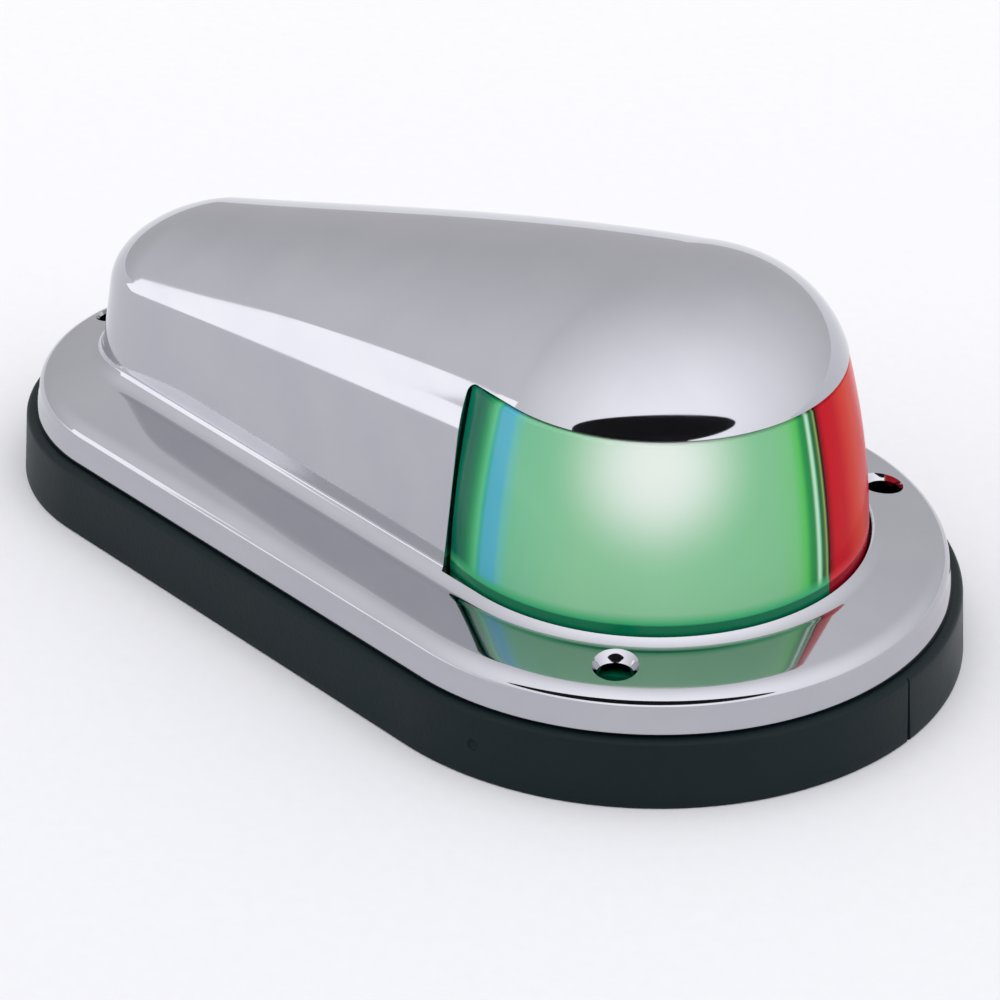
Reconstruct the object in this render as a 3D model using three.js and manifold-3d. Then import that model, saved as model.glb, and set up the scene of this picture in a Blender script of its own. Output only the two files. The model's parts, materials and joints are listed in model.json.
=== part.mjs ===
// Bicolour bow navigation light: a teardrop chrome cover on a rubber mounting pad, with a green and a red
// lens round one bayonet bulb that lies along the centre line. Millimetres, +Z up, +X towards the bow.
// The origin is the centre of the pad's underside. Starboard, the green side, is -Y.
import * as THREE from "three";
import { mergeVertices } from "three/addons/utils/BufferGeometryUtils.js";
import Module from "manifold-3d";

const wasm = await Module();
wasm.setup();

// ---------------------------------------------------------------- driving dimensions
// Pad: two arcs joined by their tangents, the wide one at the bow.
const PAD_LENGTH = 137.5;
const PAD_BOW_RADIUS = 40;
const PAD_TAIL_RADIUS = 28.4;
const PAD_HEIGHT = 8.9;
const PAD_DRAFT = 0.5; // how far the pad's side leans in over its height
const PAD_SHOULDER = 0.7;

// Cover flange, measured inwards from the pad's outline.
const COVER_GAP = 0.2; // the skirt's lower edge above the pad
const SKIRT_INSET = 1.8;
const SKIRT_DRAFT = 0.6;
const SKIRT_HEIGHT = 3.9;
const RIDGE_RADIUS = 1.5;
const PLATEAU_RISE = 0.9; // from the ridge to the foot of the dome
const COVER_WALL = 2;
const UNDERSIDE_DROP = 1.2; // the flange's flat underside below the ridge

// Dome: the same kind of outline, smaller. Its heights are above the foot.
const DOME_BOW_RADIUS = 27.6;
const DOME_TAIL_RADIUS = 14.6;
const DOME_TAIL_REACH = 9.85; // from the dome's tail to the pad's tail
const DOME_DRAFT = 0.142; // lean of the wall, per mm of height
const DOME_WALL_BOW = 18.6;
const DOME_WALL_TAIL = 11.5;
const DOME_CROWN_BOW = 36.3;
const DOME_CROWN_TAIL = 20.7;
const CROWN_SWELL = 0.32; // bulge of the crown line between tail and bow
const CROWN_SHIFT = 0.18; // how far that bulge leans towards the bow
const DOME_FULLNESS = 2.4; // superellipse exponent of the section above the wall
const FOOT_FILLET = 2.2;

// Window in the cover, which the lens fills.
const SILL_RISE = 0.5; // above the foot
const BRIM_RISE = 24.9; // above the foot
const WINDOW_BACK = 12; // behind the lens axis, at the sill
const WINDOW_LEAN = 0.012; // forward, per millimetre of height
const LENS_GAP = 0.35;

// Lens, a barrel-shaped cone round the lens axis.
const LENS_WALL = 2.6;
const LENS_FOOT_RADIUS = 27.4;
const LENS_BRIM_RADIUS = 24;
const LENS_BULGE = 0.7;
const LENS_FLANGE = 3.3; // foot flange beyond the lens wall
const LENS_FLANGE_THICKNESS = 1.4;
const LENS_SPIGOT = 2;
const LENS_EDGE_LIP = 4.5; // how far the inner lip runs behind the cover's wall
const SEAM_GAP = 0.15; // half the gap between the two lenses
const GASKET_THICKNESS = 0.7;
const STACK_GAP = 0.1;
const RETAINER_THICKNESS = 1.3;
const SCREEN_THICKNESS = 1;
const SCREEN_DEPTH = 9;

// Fixings.
const MOUNT_HOLE_RADIUS = 2.25;
const MOUNT_RIM_RADIUS = 3.1;
const MOUNT_BOSS_RADIUS = 4;
const MOUNT_TAIL_INSET = 6.8; // from the pad's tail
const MOUNT_BOW_ANGLE = 60; // degrees each side of the bow
const SMALL_SCREW_RADIUS = 1.2;
const SMALL_BOSS_RADIUS = 2.6;
const SINK_RADIUS = 2.1;
const SINK_DEPTH = 0.9;
const FIT = 0.3; // clearance between separate pieces

// Base plate and wiring.
const PLATE_THICKNESS = 1.5;
const WIRE_SLOT_LENGTH = 15;
const WIRE_SLOT_WIDTH = 10;
const WIRE_SLOT_X = -20.5;
const GROMMET_WALL = 1.4;
const TERMINAL_X = -35;
const TERMINAL_SPACING = 11;
const LEAD_RADIUS = 0.9;

// Bulb and socket, with their axis along X.
const CAP_RADIUS = 7.6;
const CAP_LENGTH = 16;
const PIN_RADIUS = 1;
const PIN_SETBACK = 6.8; // from the cap's contact end
const PIN_PROUD = 1.3;
const GLASS_RADIUS = 9;
const GLASS_LENGTH = 19.5;
const FILAMENT_REACH = 10; // from the cap's front end to the filament
const GLASS_WALL = 0.7;
const SHELL_CLEARANCE = 0.3;
const SHELL_WALL = 0.6;
const SHELL_LENGTH = 24;
const SHELL_LIP = 0.6;
const SHELL_GRIP = 11.8; // how far the cap goes into the shell
const PUSH_TRAVEL = 2;
const TWIST_DEGREES = 20;
const SPRING_WIRE = 0.45;
const SPRING_RADIUS = 4.6;
const SPRING_TURNS = 3;
const PLATE_SCREW_RADIUS = 1.5;
const PLATE_SCREW_HEAD = 2.9;
const SCREW_HEAD_TOP = 3.4;
const BRACKET_HALF_WIDTH = 11;
const BRACKET_SCREW_Y = 6.5;
const BRACKET_THICKNESS = 1.4;
const INSULATOR_THICKNESS = 2;
const STEM_RADIUS = 1.1;
const DISC_THICKNESS = 1.4;
const TERMINAL_HOLE = 2.2;
const EYELET_RADIUS = 4.2;
const TAG_REACH = 5.5; // from the stud to the end of the tag's tail
const TAG_THICKNESS = 0.6;
const RIVET_RADIUS = 1.3;
const BRACKET_FOOT = 8;
const POST_Y = 3.2;

// ---------------------------------------------------------------- levels and places worked out from those
const HALF_LENGTH = PAD_LENGTH / 2;
const LENS_X = HALF_LENGTH - PAD_BOW_RADIUS;
const PAD_TAIL_X = -(HALF_LENGTH - PAD_TAIL_RADIUS);
const DOME_TAIL_X = -(HALF_LENGTH - DOME_TAIL_REACH - DOME_TAIL_RADIUS);
const SKIRT_BOTTOM = PAD_HEIGHT + COVER_GAP;
const RIDGE_Z = SKIRT_BOTTOM + SKIRT_HEIGHT + RIDGE_RADIUS;
const FOOT_Z = RIDGE_Z + PLATEAU_RISE + 0.5;
const PLATEAU_Z = RIDGE_Z + PLATEAU_RISE;
const UNDERSIDE_Z = RIDGE_Z - UNDERSIDE_DROP;
const SILL_Z = FOOT_Z + SILL_RISE;
const BRIM_Z = FOOT_Z + BRIM_RISE;
const GASKET_TOP = UNDERSIDE_Z - STACK_GAP;
const FLANGE_TOP = GASKET_TOP - GASKET_THICKNESS - STACK_GAP;
const FLANGE_BOTTOM = FLANGE_TOP - LENS_FLANGE_THICKNESS;
const RETAINER_TOP = FLANGE_BOTTOM - STACK_GAP;
const RETAINER_BOTTOM = RETAINER_TOP - RETAINER_THICKNESS;
const BULB_Z = (SILL_Z + BRIM_Z) / 2 - 0.7;
const SKIRT_INNER_INSET = SKIRT_INSET + SKIRT_DRAFT + COVER_WALL;
const RETAINER_REACH = 27; // behind the lens axis
const PLATE_INSET = DOME_BOW_RADIUS - LENS_FOOT_RADIUS + LENS_WALL + 4.2;
const LENS_TOP = BRIM_Z - LENS_GAP;
const SPIGOT_RADIUS = LENS_BRIM_RADIUS - COVER_WALL - 3.2;
const WIDE = PAD_LENGTH;
const RETAINER_OUTER = SKIRT_INNER_INSET + FIT;
const RETAINER_INNER = PLATE_INSET - 0.6;
const PLATE_LOW = PAD_HEIGHT + STACK_GAP;
const PLATE_HIGH = PLATE_LOW + PLATE_THICKNESS;
const PLATE_SCREW_XS = [DOME_TAIL_X + 0.5, LENS_X + 6];
const FILAMENT_X = LENS_X - 1.5;
const CAP_BACK = FILAMENT_X - CAP_LENGTH - FILAMENT_REACH;
const CAP_FRONT = CAP_BACK + CAP_LENGTH;
const PIN_X = CAP_BACK + PIN_SETBACK;
const SHELL_INNER = CAP_RADIUS + SHELL_CLEARANCE;
const SHELL_OUTER = SHELL_INNER + SHELL_WALL;
const SHELL_FRONT = CAP_BACK + SHELL_GRIP;
const SHELL_BACK = SHELL_FRONT - SHELL_LENGTH;
const BRACKET_X = SHELL_BACK + 6;
const COLLAR_RADIUS = SHELL_OUTER + 1.6;
const INSULATOR_BACK = SHELL_BACK + 0.8;
const INSULATOR_FRONT = INSULATOR_BACK + INSULATOR_THICKNESS;
const DISC_RADIUS = SHELL_INNER - 0.6;
const CONTACT_TIP = CAP_BACK - 1.3;
const DISC_FRONT = CONTACT_TIP - 0.9;
const DISC_BACK = DISC_FRONT - DISC_THICKNESS;
const BRACKET_FOOT_X = BRACKET_X + BRACKET_THICKNESS + BRACKET_FOOT / 2;
const CLIP_FRONT = SHELL_BACK - 0.9;
const EYELET_BACK = INSULATOR_BACK - 0.55;
const GLASS_NECK = CAP_RADIUS - 1.1;
const MOUNT_BACK = CAP_FRONT - 3.6;
const LEAD_START = TERMINAL_X + TAG_REACH - 2;
const LEAD_LOW = PLATE_HIGH + 1.2 + TAG_THICKNESS + LEAD_RADIUS;
const HALF_SPACING = TERMINAL_SPACING / 2;
const BRIM_BACK = WINDOW_BACK - (BRIM_Z - SILL_Z) * WINDOW_LEAN;
const MOUNT_REACH = (PAD_BOW_RADIUS - SKIRT_INSET - RIDGE_RADIUS + DOME_BOW_RADIUS) / 2 + 0.2;
const RETAINER_SIDE_Y = DOME_BOW_RADIUS + 1.4;

const BOW_STEPS = 12;
const SIDE_STEPS = 4;
const TAIL_STEPS = 7;
const ROUND = 24;

// ---------------------------------------------------------------- materials
const finish = (color, roughness, metalness, opacity = 1) =>
  new THREE.MeshStandardMaterial({ color, roughness, metalness, opacity, transparent: opacity < 1 });
const CHROME = finish(0xd6d7dc, 0.06, 1);
const RUBBER = finish(0x22292c, 0.6, 0);
const GREEN = finish(0x35b060, 0.12, 0, 0.6);
const RED = finish(0xd2122e, 0.12, 0, 0.6);
const BLACK_PLASTIC = finish(0x1b1c1e, 0.45, 0);
const FOAM = finish(0x3a3a3c, 0.9, 0);
const ZINC_STEEL = finish(0xb9bcc2, 0.35, 1);
const BRASS = finish(0xc9a558, 0.3, 1);
const PHENOLIC = finish(0x5a3220, 0.55, 0);
const GLASS = finish(0xf2f6f6, 0.03, 0, 0.3);
const TUNGSTEN = finish(0x6a6a6e, 0.4, 1);
const SOLDER = finish(0xa9abb0, 0.4, 1);
const RED_LEAD = finish(0xb32020, 0.5, 0);
const BLACK_LEAD = finish(0x161618, 0.5, 0);

// ---------------------------------------------------------------- solids and geometry
/** A manifold solid of a closed geometry. */
function solidOf(geometry) {
  const bare = geometry.clone();
  bare.deleteAttribute("normal");
  bare.deleteAttribute("uv");
  const merged = mergeVertices(bare, 1e-4);
  const index = merged.index.array;
  const triVerts = [];
  for (let i = 0; i < index.length; i += 3) {
    const [a, b, c] = [index[i], index[i + 1], index[i + 2]];
    if (a !== b && b !== c && c !== a) triVerts.push(a, b, c);
  }
  return new wasm.Manifold(
    new wasm.Mesh({
      numProp: 3,
      vertProperties: merged.attributes.position.array,
      triVerts: new Uint32Array(triVerts),
    }),
  );
}

/** The BufferGeometry of a manifold solid. */
function geometryOf(solid) {
  const mesh = solid.getMesh();
  const geometry = new THREE.BufferGeometry();
  geometry.setAttribute("position", new THREE.BufferAttribute(new Float32Array(mesh.vertProperties), 3));
  geometry.setIndex(new THREE.BufferAttribute(new Uint32Array(mesh.triVerts), 1));
  return geometry;
}

/** An upright cylinder or cone from z = low to z = high. */
function post(x, y, low, high, radius, topRadius = radius, segments = ROUND) {
  const geometry = new THREE.CylinderGeometry(topRadius, radius, high - low, segments);
  geometry.rotateX(Math.PI / 2);
  geometry.translate(x, y, (low + high) / 2);
  return solidOf(geometry);
}

/** A box between two corners. */
function block(low, high) {
  const size = high.map((value, i) => value - low[i]);
  const geometry = new THREE.BoxGeometry(...size);
  geometry.translate(...high.map((value, i) => (value + low[i]) / 2));
  return solidOf(geometry);
}

/** A solid of revolution about a vertical axis at x, from a closed profile of [radius, z]. */
function turned(profile, x = 0, segments = 64) {
  const points = [...profile, profile[0]].map(([r, z]) => new THREE.Vector2(r, z));
  const geometry = new THREE.LatheGeometry(points, segments);
  geometry.rotateX(Math.PI / 2);
  geometry.translate(x, 0, 0);
  return solidOf(geometry);
}

/** A rod or disc about the bulb's axis from x = back to x = front. */
const rod = (back, front, radius, segments = ROUND) => {
  const geometry = new THREE.CylinderGeometry(radius, radius, front - back, segments);
  geometry.rotateZ(-Math.PI / 2);
  geometry.translate((front + back) / 2, 0, BULB_Z);
  return solidOf(geometry);
};

/** A prism across Y from an outline in X and Z. */
function prism(outline, halfWidth) {
  const shape = new THREE.Shape(outline.map(([x, z]) => new THREE.Vector2(x, z)));
  const geometry = new THREE.ExtrudeGeometry(shape, { depth: 2 * halfWidth, bevelEnabled: false });
  geometry.rotateX(Math.PI / 2);
  geometry.translate(0, halfWidth, 0);
  return solidOf(geometry);
}

/** A tube of one radius along points, closed at both ends. */
function cable(points, radius, sides = 8, steps = 24) {
  const section = new THREE.Shape();
  section.absarc(0, 0, radius, 0, 2 * Math.PI);
  const curve = new THREE.CatmullRomCurve3(points.map((p) => new THREE.Vector3(...p)));
  return new THREE.ExtrudeGeometry(section, { steps, extrudePath: curve, curveSegments: sides / 2 });
}

const span = (count) => [...Array(count + 1).keys()].map((i) => i / count);
const blend = (a, b, t) => a + (b - a) * t;
const meshes = new Map();
/** A named mesh, kept by name so that the last lines can group it. */
function piece(name, material, geometry) {
  const mesh = new THREE.Mesh(geometry, material);
  mesh.name = name;
  meshes.set(name, mesh);
  return mesh;
}
const solidPiece = (name, material, solid) => piece(name, material, geometryOf(solid));

// ---------------------------------------------------------------- teardrop outlines
/**
 * The outline of two arcs joined by their tangents, anticlockwise from the bow tip. Each point holds the arc
 * centre it belongs to, its radius, its outward direction and its station: 0 at the tail's centre and 1 at
 * the bow's.
 */
function teardrop(tailX, bowRadius, tailRadius) {
  const taper = Math.asin((bowRadius - tailRadius) / (LENS_X - tailX));
  const shoulder = Math.PI / 2 + taper;
  const half = [
    ...span(BOW_STEPS).map((t) => [t * shoulder, 1]),
    ...span(SIDE_STEPS).slice(1, -1).map((t) => [shoulder, 1 - t]),
    ...span(TAIL_STEPS).map((t) => [blend(shoulder, Math.PI, t), 0]),
  ];
  const mirrored = half.slice(1, -1).reverse().map(([angle, station]) => [-angle, station]);
  return [...half, ...mirrored].map(([angle, station]) => ({
    centre: blend(tailX, LENS_X, station),
    radius: blend(tailRadius, bowRadius, station),
    nx: Math.cos(angle),
    ny: Math.sin(angle),
    station,
  }));
}
const PAD_OUTLINE = teardrop(PAD_TAIL_X, PAD_BOW_RADIUS, PAD_TAIL_RADIUS);
const DOME_OUTLINE = teardrop(DOME_TAIL_X, DOME_BOW_RADIUS, DOME_TAIL_RADIUS);

/** One ring of points: radiusAt and zAt give each one's distance from its arc centre, and its height. */
const ring = (outline, radiusAt, zAt) =>
  outline.map((p) => {
    const reach = radiusAt(p);
    const x = p.centre + reach * p.nx;
    return [x, reach * p.ny, zAt(p, x)];
  });
const insetRing = (outline, inset, z) => ring(outline, (p) => p.radius - inset, () => z);

/** The closed solid through a stack of rings, from the lowest to the highest. */
function loft(rings) {
  const count = rings[0].length;
  const index = [];
  const at = (row, i) => row * count + ((i + count) % count);
  rings.slice(1).forEach((_, row) => {
    for (let i = 0; i < count; i++) {
      index.push(at(row, i), at(row, i + 1), at(row + 1, i + 1));
      index.push(at(row, i), at(row + 1, i + 1), at(row + 1, i));
    }
  });
  const top = rings.length - 1;
  for (let i = 0; i < count / 2; i++) {
    const [left, leftNext, right, rightNext] = [i, i + 1, -i, -i - 1];
    if (i > 0) {
      index.push(at(0, left), at(0, right), at(0, leftNext));
      index.push(at(top, left), at(top, leftNext), at(top, right));
    }
    if (i < count / 2 - 1) {
      index.push(at(0, right), at(0, rightNext), at(0, leftNext));
      index.push(at(top, right), at(top, leftNext), at(top, rightNext));
    }
  }
  const geometry = new THREE.BufferGeometry();
  geometry.setAttribute("position", new THREE.Float32BufferAttribute(rings.flat(2), 3));
  geometry.setIndex(index);
  return solidOf(geometry);
}

/** A flat plate between two levels, with its edge in from an outline. */
const plate = (outline, inset, low, high) =>
  loft([insetRing(outline, inset, low), insetRing(outline, inset, high)]);

// ---------------------------------------------------------------- dome
const station = (x) => (x - DOME_TAIL_X) / (LENS_X - DOME_TAIL_X);
const wallTop = (p) => FOOT_Z + blend(DOME_WALL_TAIL, DOME_WALL_BOW, station(p.centre + p.radius * p.nx));
const wallRadius = (p, z) => p.radius - (z - FOOT_Z) * DOME_DRAFT;
/** Height of the crown line over a point on the centre line. */
function crownAt(x) {
  const t = station(x);
  const bulge = t * (1 - t) * (CROWN_SWELL - CROWN_SHIFT * (1 - 2 * t));
  return FOOT_Z + blend(DOME_CROWN_TAIL, DOME_CROWN_BOW, t + bulge);
}

/** Rings of the dome from its foot to its crown, moved in from the outer skin by a wall thickness. */
function domeRings(thickness, firstZ, arcs) {
  const rings = [ring(DOME_OUTLINE, (p) => wallRadius(p, firstZ) - thickness, () => firstZ)];
  for (const share of [0.5, 1]) {
    const level = (p) => blend(firstZ, wallTop(p), share);
    rings.push(ring(DOME_OUTLINE, (p) => wallRadius(p, level(p)) - thickness, level));
  }
  for (const share of span(arcs).slice(1)) {
    const angle = (share * 0.975 * Math.PI) / 2;
    const out = Math.cos(angle) ** (2 / DOME_FULLNESS);
    const up = Math.sin(angle) ** (2 / DOME_FULLNESS);
    // The section leaves the wall at the wall's own lean, so that the two join without a crease.
    const lean = (p) => DOME_DRAFT * up * (crownAt(p.centre) - wallTop(p));
    rings.push(
      ring(
        DOME_OUTLINE,
        (p) => (wallRadius(p, wallTop(p)) - lean(p) - thickness) * out,
        (p, x) => blend(wallTop(p), crownAt(x) - thickness, up),
      ),
    );
  }
  return rings;
}

/** Mounting screw places: one at the tail and one each side of the bow. */
const MOUNT_PLACES = [
  [-(HALF_LENGTH - MOUNT_TAIL_INSET), 0],
  ...[-1, 1].map((side) => {
    const angle = (side * MOUNT_BOW_ANGLE * Math.PI) / 180;
    return [LENS_X + MOUNT_REACH * Math.cos(angle), MOUNT_REACH * Math.sin(angle)];
  }),
];

/** Retainer screw places: one at the bow and one each side, aft of the lens. */
const RETAINER_PLACES = [
  [LENS_X + PAD_BOW_RADIUS - SKIRT_INNER_INSET - SMALL_BOSS_RADIUS, 0],
  [LENS_X - WINDOW_BACK - 8.3, RETAINER_SIDE_Y],
  [LENS_X - WINDOW_BACK - 8.3, -RETAINER_SIDE_Y],
];

// The window seen from the side: its after edge leans a little forward.
const windowOutline = (gap) => [
  [LENS_X - WINDOW_BACK + gap, SILL_Z],
  [HALF_LENGTH + 5, SILL_Z],
  [HALF_LENGTH + 5, BRIM_Z],
  [LENS_X - BRIM_BACK + gap, BRIM_Z],
];

/** The chrome cover: one casting of flange, dome and bosses. */
function coverSolid() {
  const ridgeStart = SKIRT_INSET + SKIRT_DRAFT;
  const ridge = span(3).slice(1).map((t) => {
    const angle = (t * Math.PI) / 2;
    return insetRing(
      PAD_OUTLINE,
      ridgeStart + RIDGE_RADIUS * (1 - Math.cos(angle)),
      RIDGE_Z - RIDGE_RADIUS * (1 - Math.sin(angle)),
    );
  });
  const fillet = span(3).map((t) => {
    const angle = (t * Math.PI) / 2;
    return insetRing(
      DOME_OUTLINE,
      -FOOT_FILLET * (1 - Math.sin(angle)),
      PLATEAU_Z + FOOT_FILLET * (1 - Math.cos(angle)),
    );
  });
  fillet.pop();
  const outer = loft([
    insetRing(PAD_OUTLINE, SKIRT_INSET, SKIRT_BOTTOM),
    insetRing(PAD_OUTLINE, ridgeStart, RIDGE_Z - RIDGE_RADIUS),
    ...ridge,
    ...fillet,
    ...domeRings(0, PLATEAU_Z + FOOT_FILLET, 7),
  ]);
  const inner = loft([
    insetRing(PAD_OUTLINE, SKIRT_INNER_INSET, SKIRT_BOTTOM - 1),
    insetRing(PAD_OUTLINE, SKIRT_INNER_INSET, UNDERSIDE_Z),
    ...domeRings(COVER_WALL, UNDERSIDE_Z + 0.01, 5),
  ]);
  let cover = outer.subtract(inner);
  for (const [x, y] of MOUNT_PLACES) {
    cover = cover.add(post(x, y, SKIRT_BOTTOM, UNDERSIDE_Z + 0.4, MOUNT_BOSS_RADIUS).intersect(outer));
  }
  for (const [x, y] of RETAINER_PLACES) {
    cover = cover.add(post(x, y, RETAINER_TOP + STACK_GAP, UNDERSIDE_Z + 0.4, SMALL_BOSS_RADIUS));
  }
  cover = cover.subtract(inner.intersect(block(
    [-HALF_LENGTH, -PAD_BOW_RADIUS, UNDERSIDE_Z + 0.01],
    [HALF_LENGTH, PAD_BOW_RADIUS, SILL_Z],
  )));
  cover = cover.subtract(prism(windowOutline(0), PAD_BOW_RADIUS));
  const well = post(LENS_X, 0, SKIRT_BOTTOM - 1, SILL_Z + 1, LENS_FOOT_RADIUS + LENS_GAP, undefined, 64);
  const wellFront = block(
    [LENS_X - WINDOW_BACK, -PAD_BOW_RADIUS, UNDERSIDE_Z - 0.2],
    [HALF_LENGTH, PAD_BOW_RADIUS, SILL_Z + 0.1],
  );
  cover = cover.subtract(well.intersect(wellFront));
  const rimDepth = MOUNT_RIM_RADIUS - MOUNT_HOLE_RADIUS;
  for (const [x, y] of MOUNT_PLACES) {
    cover = cover.subtract(post(x, y, SKIRT_BOTTOM - 1, SILL_Z + 2, MOUNT_HOLE_RADIUS));
    const rimTop = RIDGE_Z + 2;
    cover = cover.subtract(
      post(
        x, y, RIDGE_Z - rimDepth, rimTop,
        MOUNT_HOLE_RADIUS, MOUNT_HOLE_RADIUS + rimTop - RIDGE_Z + rimDepth,
      ),
    );
  }
  for (const [x, y] of RETAINER_PLACES) {
    const bore = post(x, y, RETAINER_BOTTOM, UNDERSIDE_Z, SMALL_SCREW_RADIUS + 0.15, undefined, 12);
    cover = cover.subtract(bore);
  }
  return cover;
}
solidPiece("cover", CHROME, coverSolid());

// ---------------------------------------------------------------- mounting pad
const PAD_HOLES = MOUNT_PLACES.map(([x, y]) => post(x, y, -1, PAD_HEIGHT + 1, MOUNT_HOLE_RADIUS + FIT));
/** A round-ended slot along X, as an upright solid. */
function slot(x, length, width, low, high) {
  const reach = (length - width) / 2;
  const middle = block([x - reach, -width / 2, low], [x + reach, width / 2, high]);
  const ends = [-reach, reach].map((dx) => post(x + dx, 0, low, high, width / 2));
  return middle.add(ends[0]).add(ends[1]);
}

function padSolid() {
  let pad = loft([
    insetRing(PAD_OUTLINE, 0, 0),
    insetRing(PAD_OUTLINE, PAD_DRAFT, PAD_HEIGHT - PAD_SHOULDER),
    insetRing(PAD_OUTLINE, PAD_DRAFT + PAD_SHOULDER * 0.3, PAD_HEIGHT - PAD_SHOULDER * 0.3),
    insetRing(PAD_OUTLINE, PAD_DRAFT + PAD_SHOULDER, PAD_HEIGHT),
  ]);
  for (const hole of PAD_HOLES) pad = pad.subtract(hole);
  pad = pad.subtract(slot(WIRE_SLOT_X, WIRE_SLOT_LENGTH, WIRE_SLOT_WIDTH, -1, PAD_HEIGHT + 1));
  for (const x of PLATE_SCREW_XS) {
    pad = pad.subtract(post(x, 0, -1, PAD_HEIGHT + 1, PLATE_SCREW_RADIUS + 0.2));
    pad = pad.subtract(post(x, 0, -1, SCREW_HEAD_TOP, PLATE_SCREW_HEAD + FIT));
  }
  for (const side of [-1, 1]) {
    pad = pad.subtract(post(TERMINAL_X, (side * TERMINAL_SPACING) / 2, PAD_HEIGHT - 3, PAD_HEIGHT + 1, 3.4));
  }
  return pad;
}
solidPiece("mounting_pad", RUBBER, padSolid());

// ---------------------------------------------------------------- lenses
/** The lens wall's outer radius at a height: a straight cone with a bulge at its middle. */
function lensRadius(z) {
  const t = Math.min(Math.max((z - FOOT_Z) / (BRIM_Z - FOOT_Z), 0), 1);
  return blend(LENS_FOOT_RADIUS, LENS_BRIM_RADIUS, t) + LENS_BULGE * 4 * t * (1 - t);
}

function lensRing() {
  const levels = [FLANGE_TOP, ...span(5).map((t) => blend(FOOT_Z, LENS_TOP, t))];
  const outer = levels.map((z) => [lensRadius(z), z]);
  const innerTop = LENS_TOP - LENS_WALL;
  const innerLevels = [...span(5).map((t) => blend(FOOT_Z, innerTop, t))].reverse();
  const inner = innerLevels.map((z) => [lensRadius(z) - LENS_WALL, z]);
  return turned([
    [LENS_FOOT_RADIUS + LENS_FLANGE, FLANGE_BOTTOM],
    [LENS_FOOT_RADIUS + LENS_FLANGE, FLANGE_TOP],
    ...outer,
    [SPIGOT_RADIUS, LENS_TOP],
    [SPIGOT_RADIUS, LENS_TOP + LENS_SPIGOT],
    [SPIGOT_RADIUS - LENS_WALL, LENS_TOP + LENS_SPIGOT],
    [SPIGOT_RADIUS - LENS_WALL, innerTop],
    ...inner,
    [LENS_FOOT_RADIUS - LENS_WALL, FLANGE_BOTTOM],
  ], LENS_X);
}

/** The inner lip that runs behind the cover's wall at each after edge of the lens. */
function lensLip() {
  const levels = span(4).map((t) => blend(SILL_Z + 0.4, LENS_TOP - LENS_WALL - 0.5, t));
  const outer = levels.map((z) => [lensRadius(z) - LENS_WALL + 0.3, z]);
  const inner = [...levels].reverse().map((z) => [lensRadius(z) - 2 * LENS_WALL, z]);
  const back = LENS_X - WINDOW_BACK - LENS_EDGE_LIP;
  const slice = block([back, -PAD_BOW_RADIUS, SILL_Z], [LENS_X - BRIM_BACK + 2.5, PAD_BOW_RADIUS, BRIM_Z]);
  return turned([...outer, ...inner], LENS_X).intersect(slice);
}

const BOSS_KEEPOUTS = [
  ...MOUNT_PLACES.map(([x, y]) => post(x, y, 0, FOOT_Z + 1, MOUNT_BOSS_RADIUS + FIT)),
  ...RETAINER_PLACES.map(([x, y]) => post(x, y, RETAINER_TOP, FOOT_Z + 1, SMALL_BOSS_RADIUS + FIT)),
];
const lensFront = prism([
  [LENS_X - WINDOW_BACK + LENS_GAP, 0],
  [LENS_X + WIDE, 0],
  [LENS_X + WIDE, BRIM_Z + 10],
  [LENS_X - BRIM_BACK + LENS_GAP, BRIM_Z + 10],
  [LENS_X - BRIM_BACK + LENS_GAP, BRIM_Z],
  [LENS_X - WINDOW_BACK + LENS_GAP, SILL_Z],
], WIDE);

function lensSolid(side) {
  let lens = lensRing().intersect(lensFront).add(lensLip());
  const ys = side > 0 ? [SEAM_GAP, WIDE] : [-WIDE, -SEAM_GAP];
  lens = lens.intersect(block([LENS_X - WIDE, ys[0], 0], [LENS_X + WIDE, ys[1], BRIM_Z + 10]));
  for (const keepout of BOSS_KEEPOUTS) lens = lens.subtract(keepout);
  return lens.subtract(rod(SHELL_BACK, SHELL_FRONT + FIT, SHELL_OUTER + SHELL_LIP + FIT));
}
solidPiece("lens_green", GREEN, lensSolid(-1));
solidPiece("lens_red", RED, lensSolid(1));

// Gasket, retainer and screen that hold and divide the lenses, all fixed to the cover.
function gasketSolid() {
  const outer = LENS_FOOT_RADIUS + LENS_FLANGE;
  const inner = LENS_FOOT_RADIUS + LENS_GAP + 0.2;
  let gasket = turned([
    [outer, GASKET_TOP - GASKET_THICKNESS],
    [outer, GASKET_TOP],
    [inner, GASKET_TOP],
    [inner, GASKET_TOP - GASKET_THICKNESS],
  ], LENS_X);
  gasket = gasket.intersect(block(
    [LENS_X - WINDOW_BACK + LENS_GAP, -WIDE, 0],
    [LENS_X + WIDE, WIDE, BRIM_Z],
  ));
  for (const keepout of BOSS_KEEPOUTS) gasket = gasket.subtract(keepout);
  return gasket.decompose().sort((a, b) => b.volume() - a.volume())[0];
}
solidPiece("lens_gasket", FOAM, gasketSolid());

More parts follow.
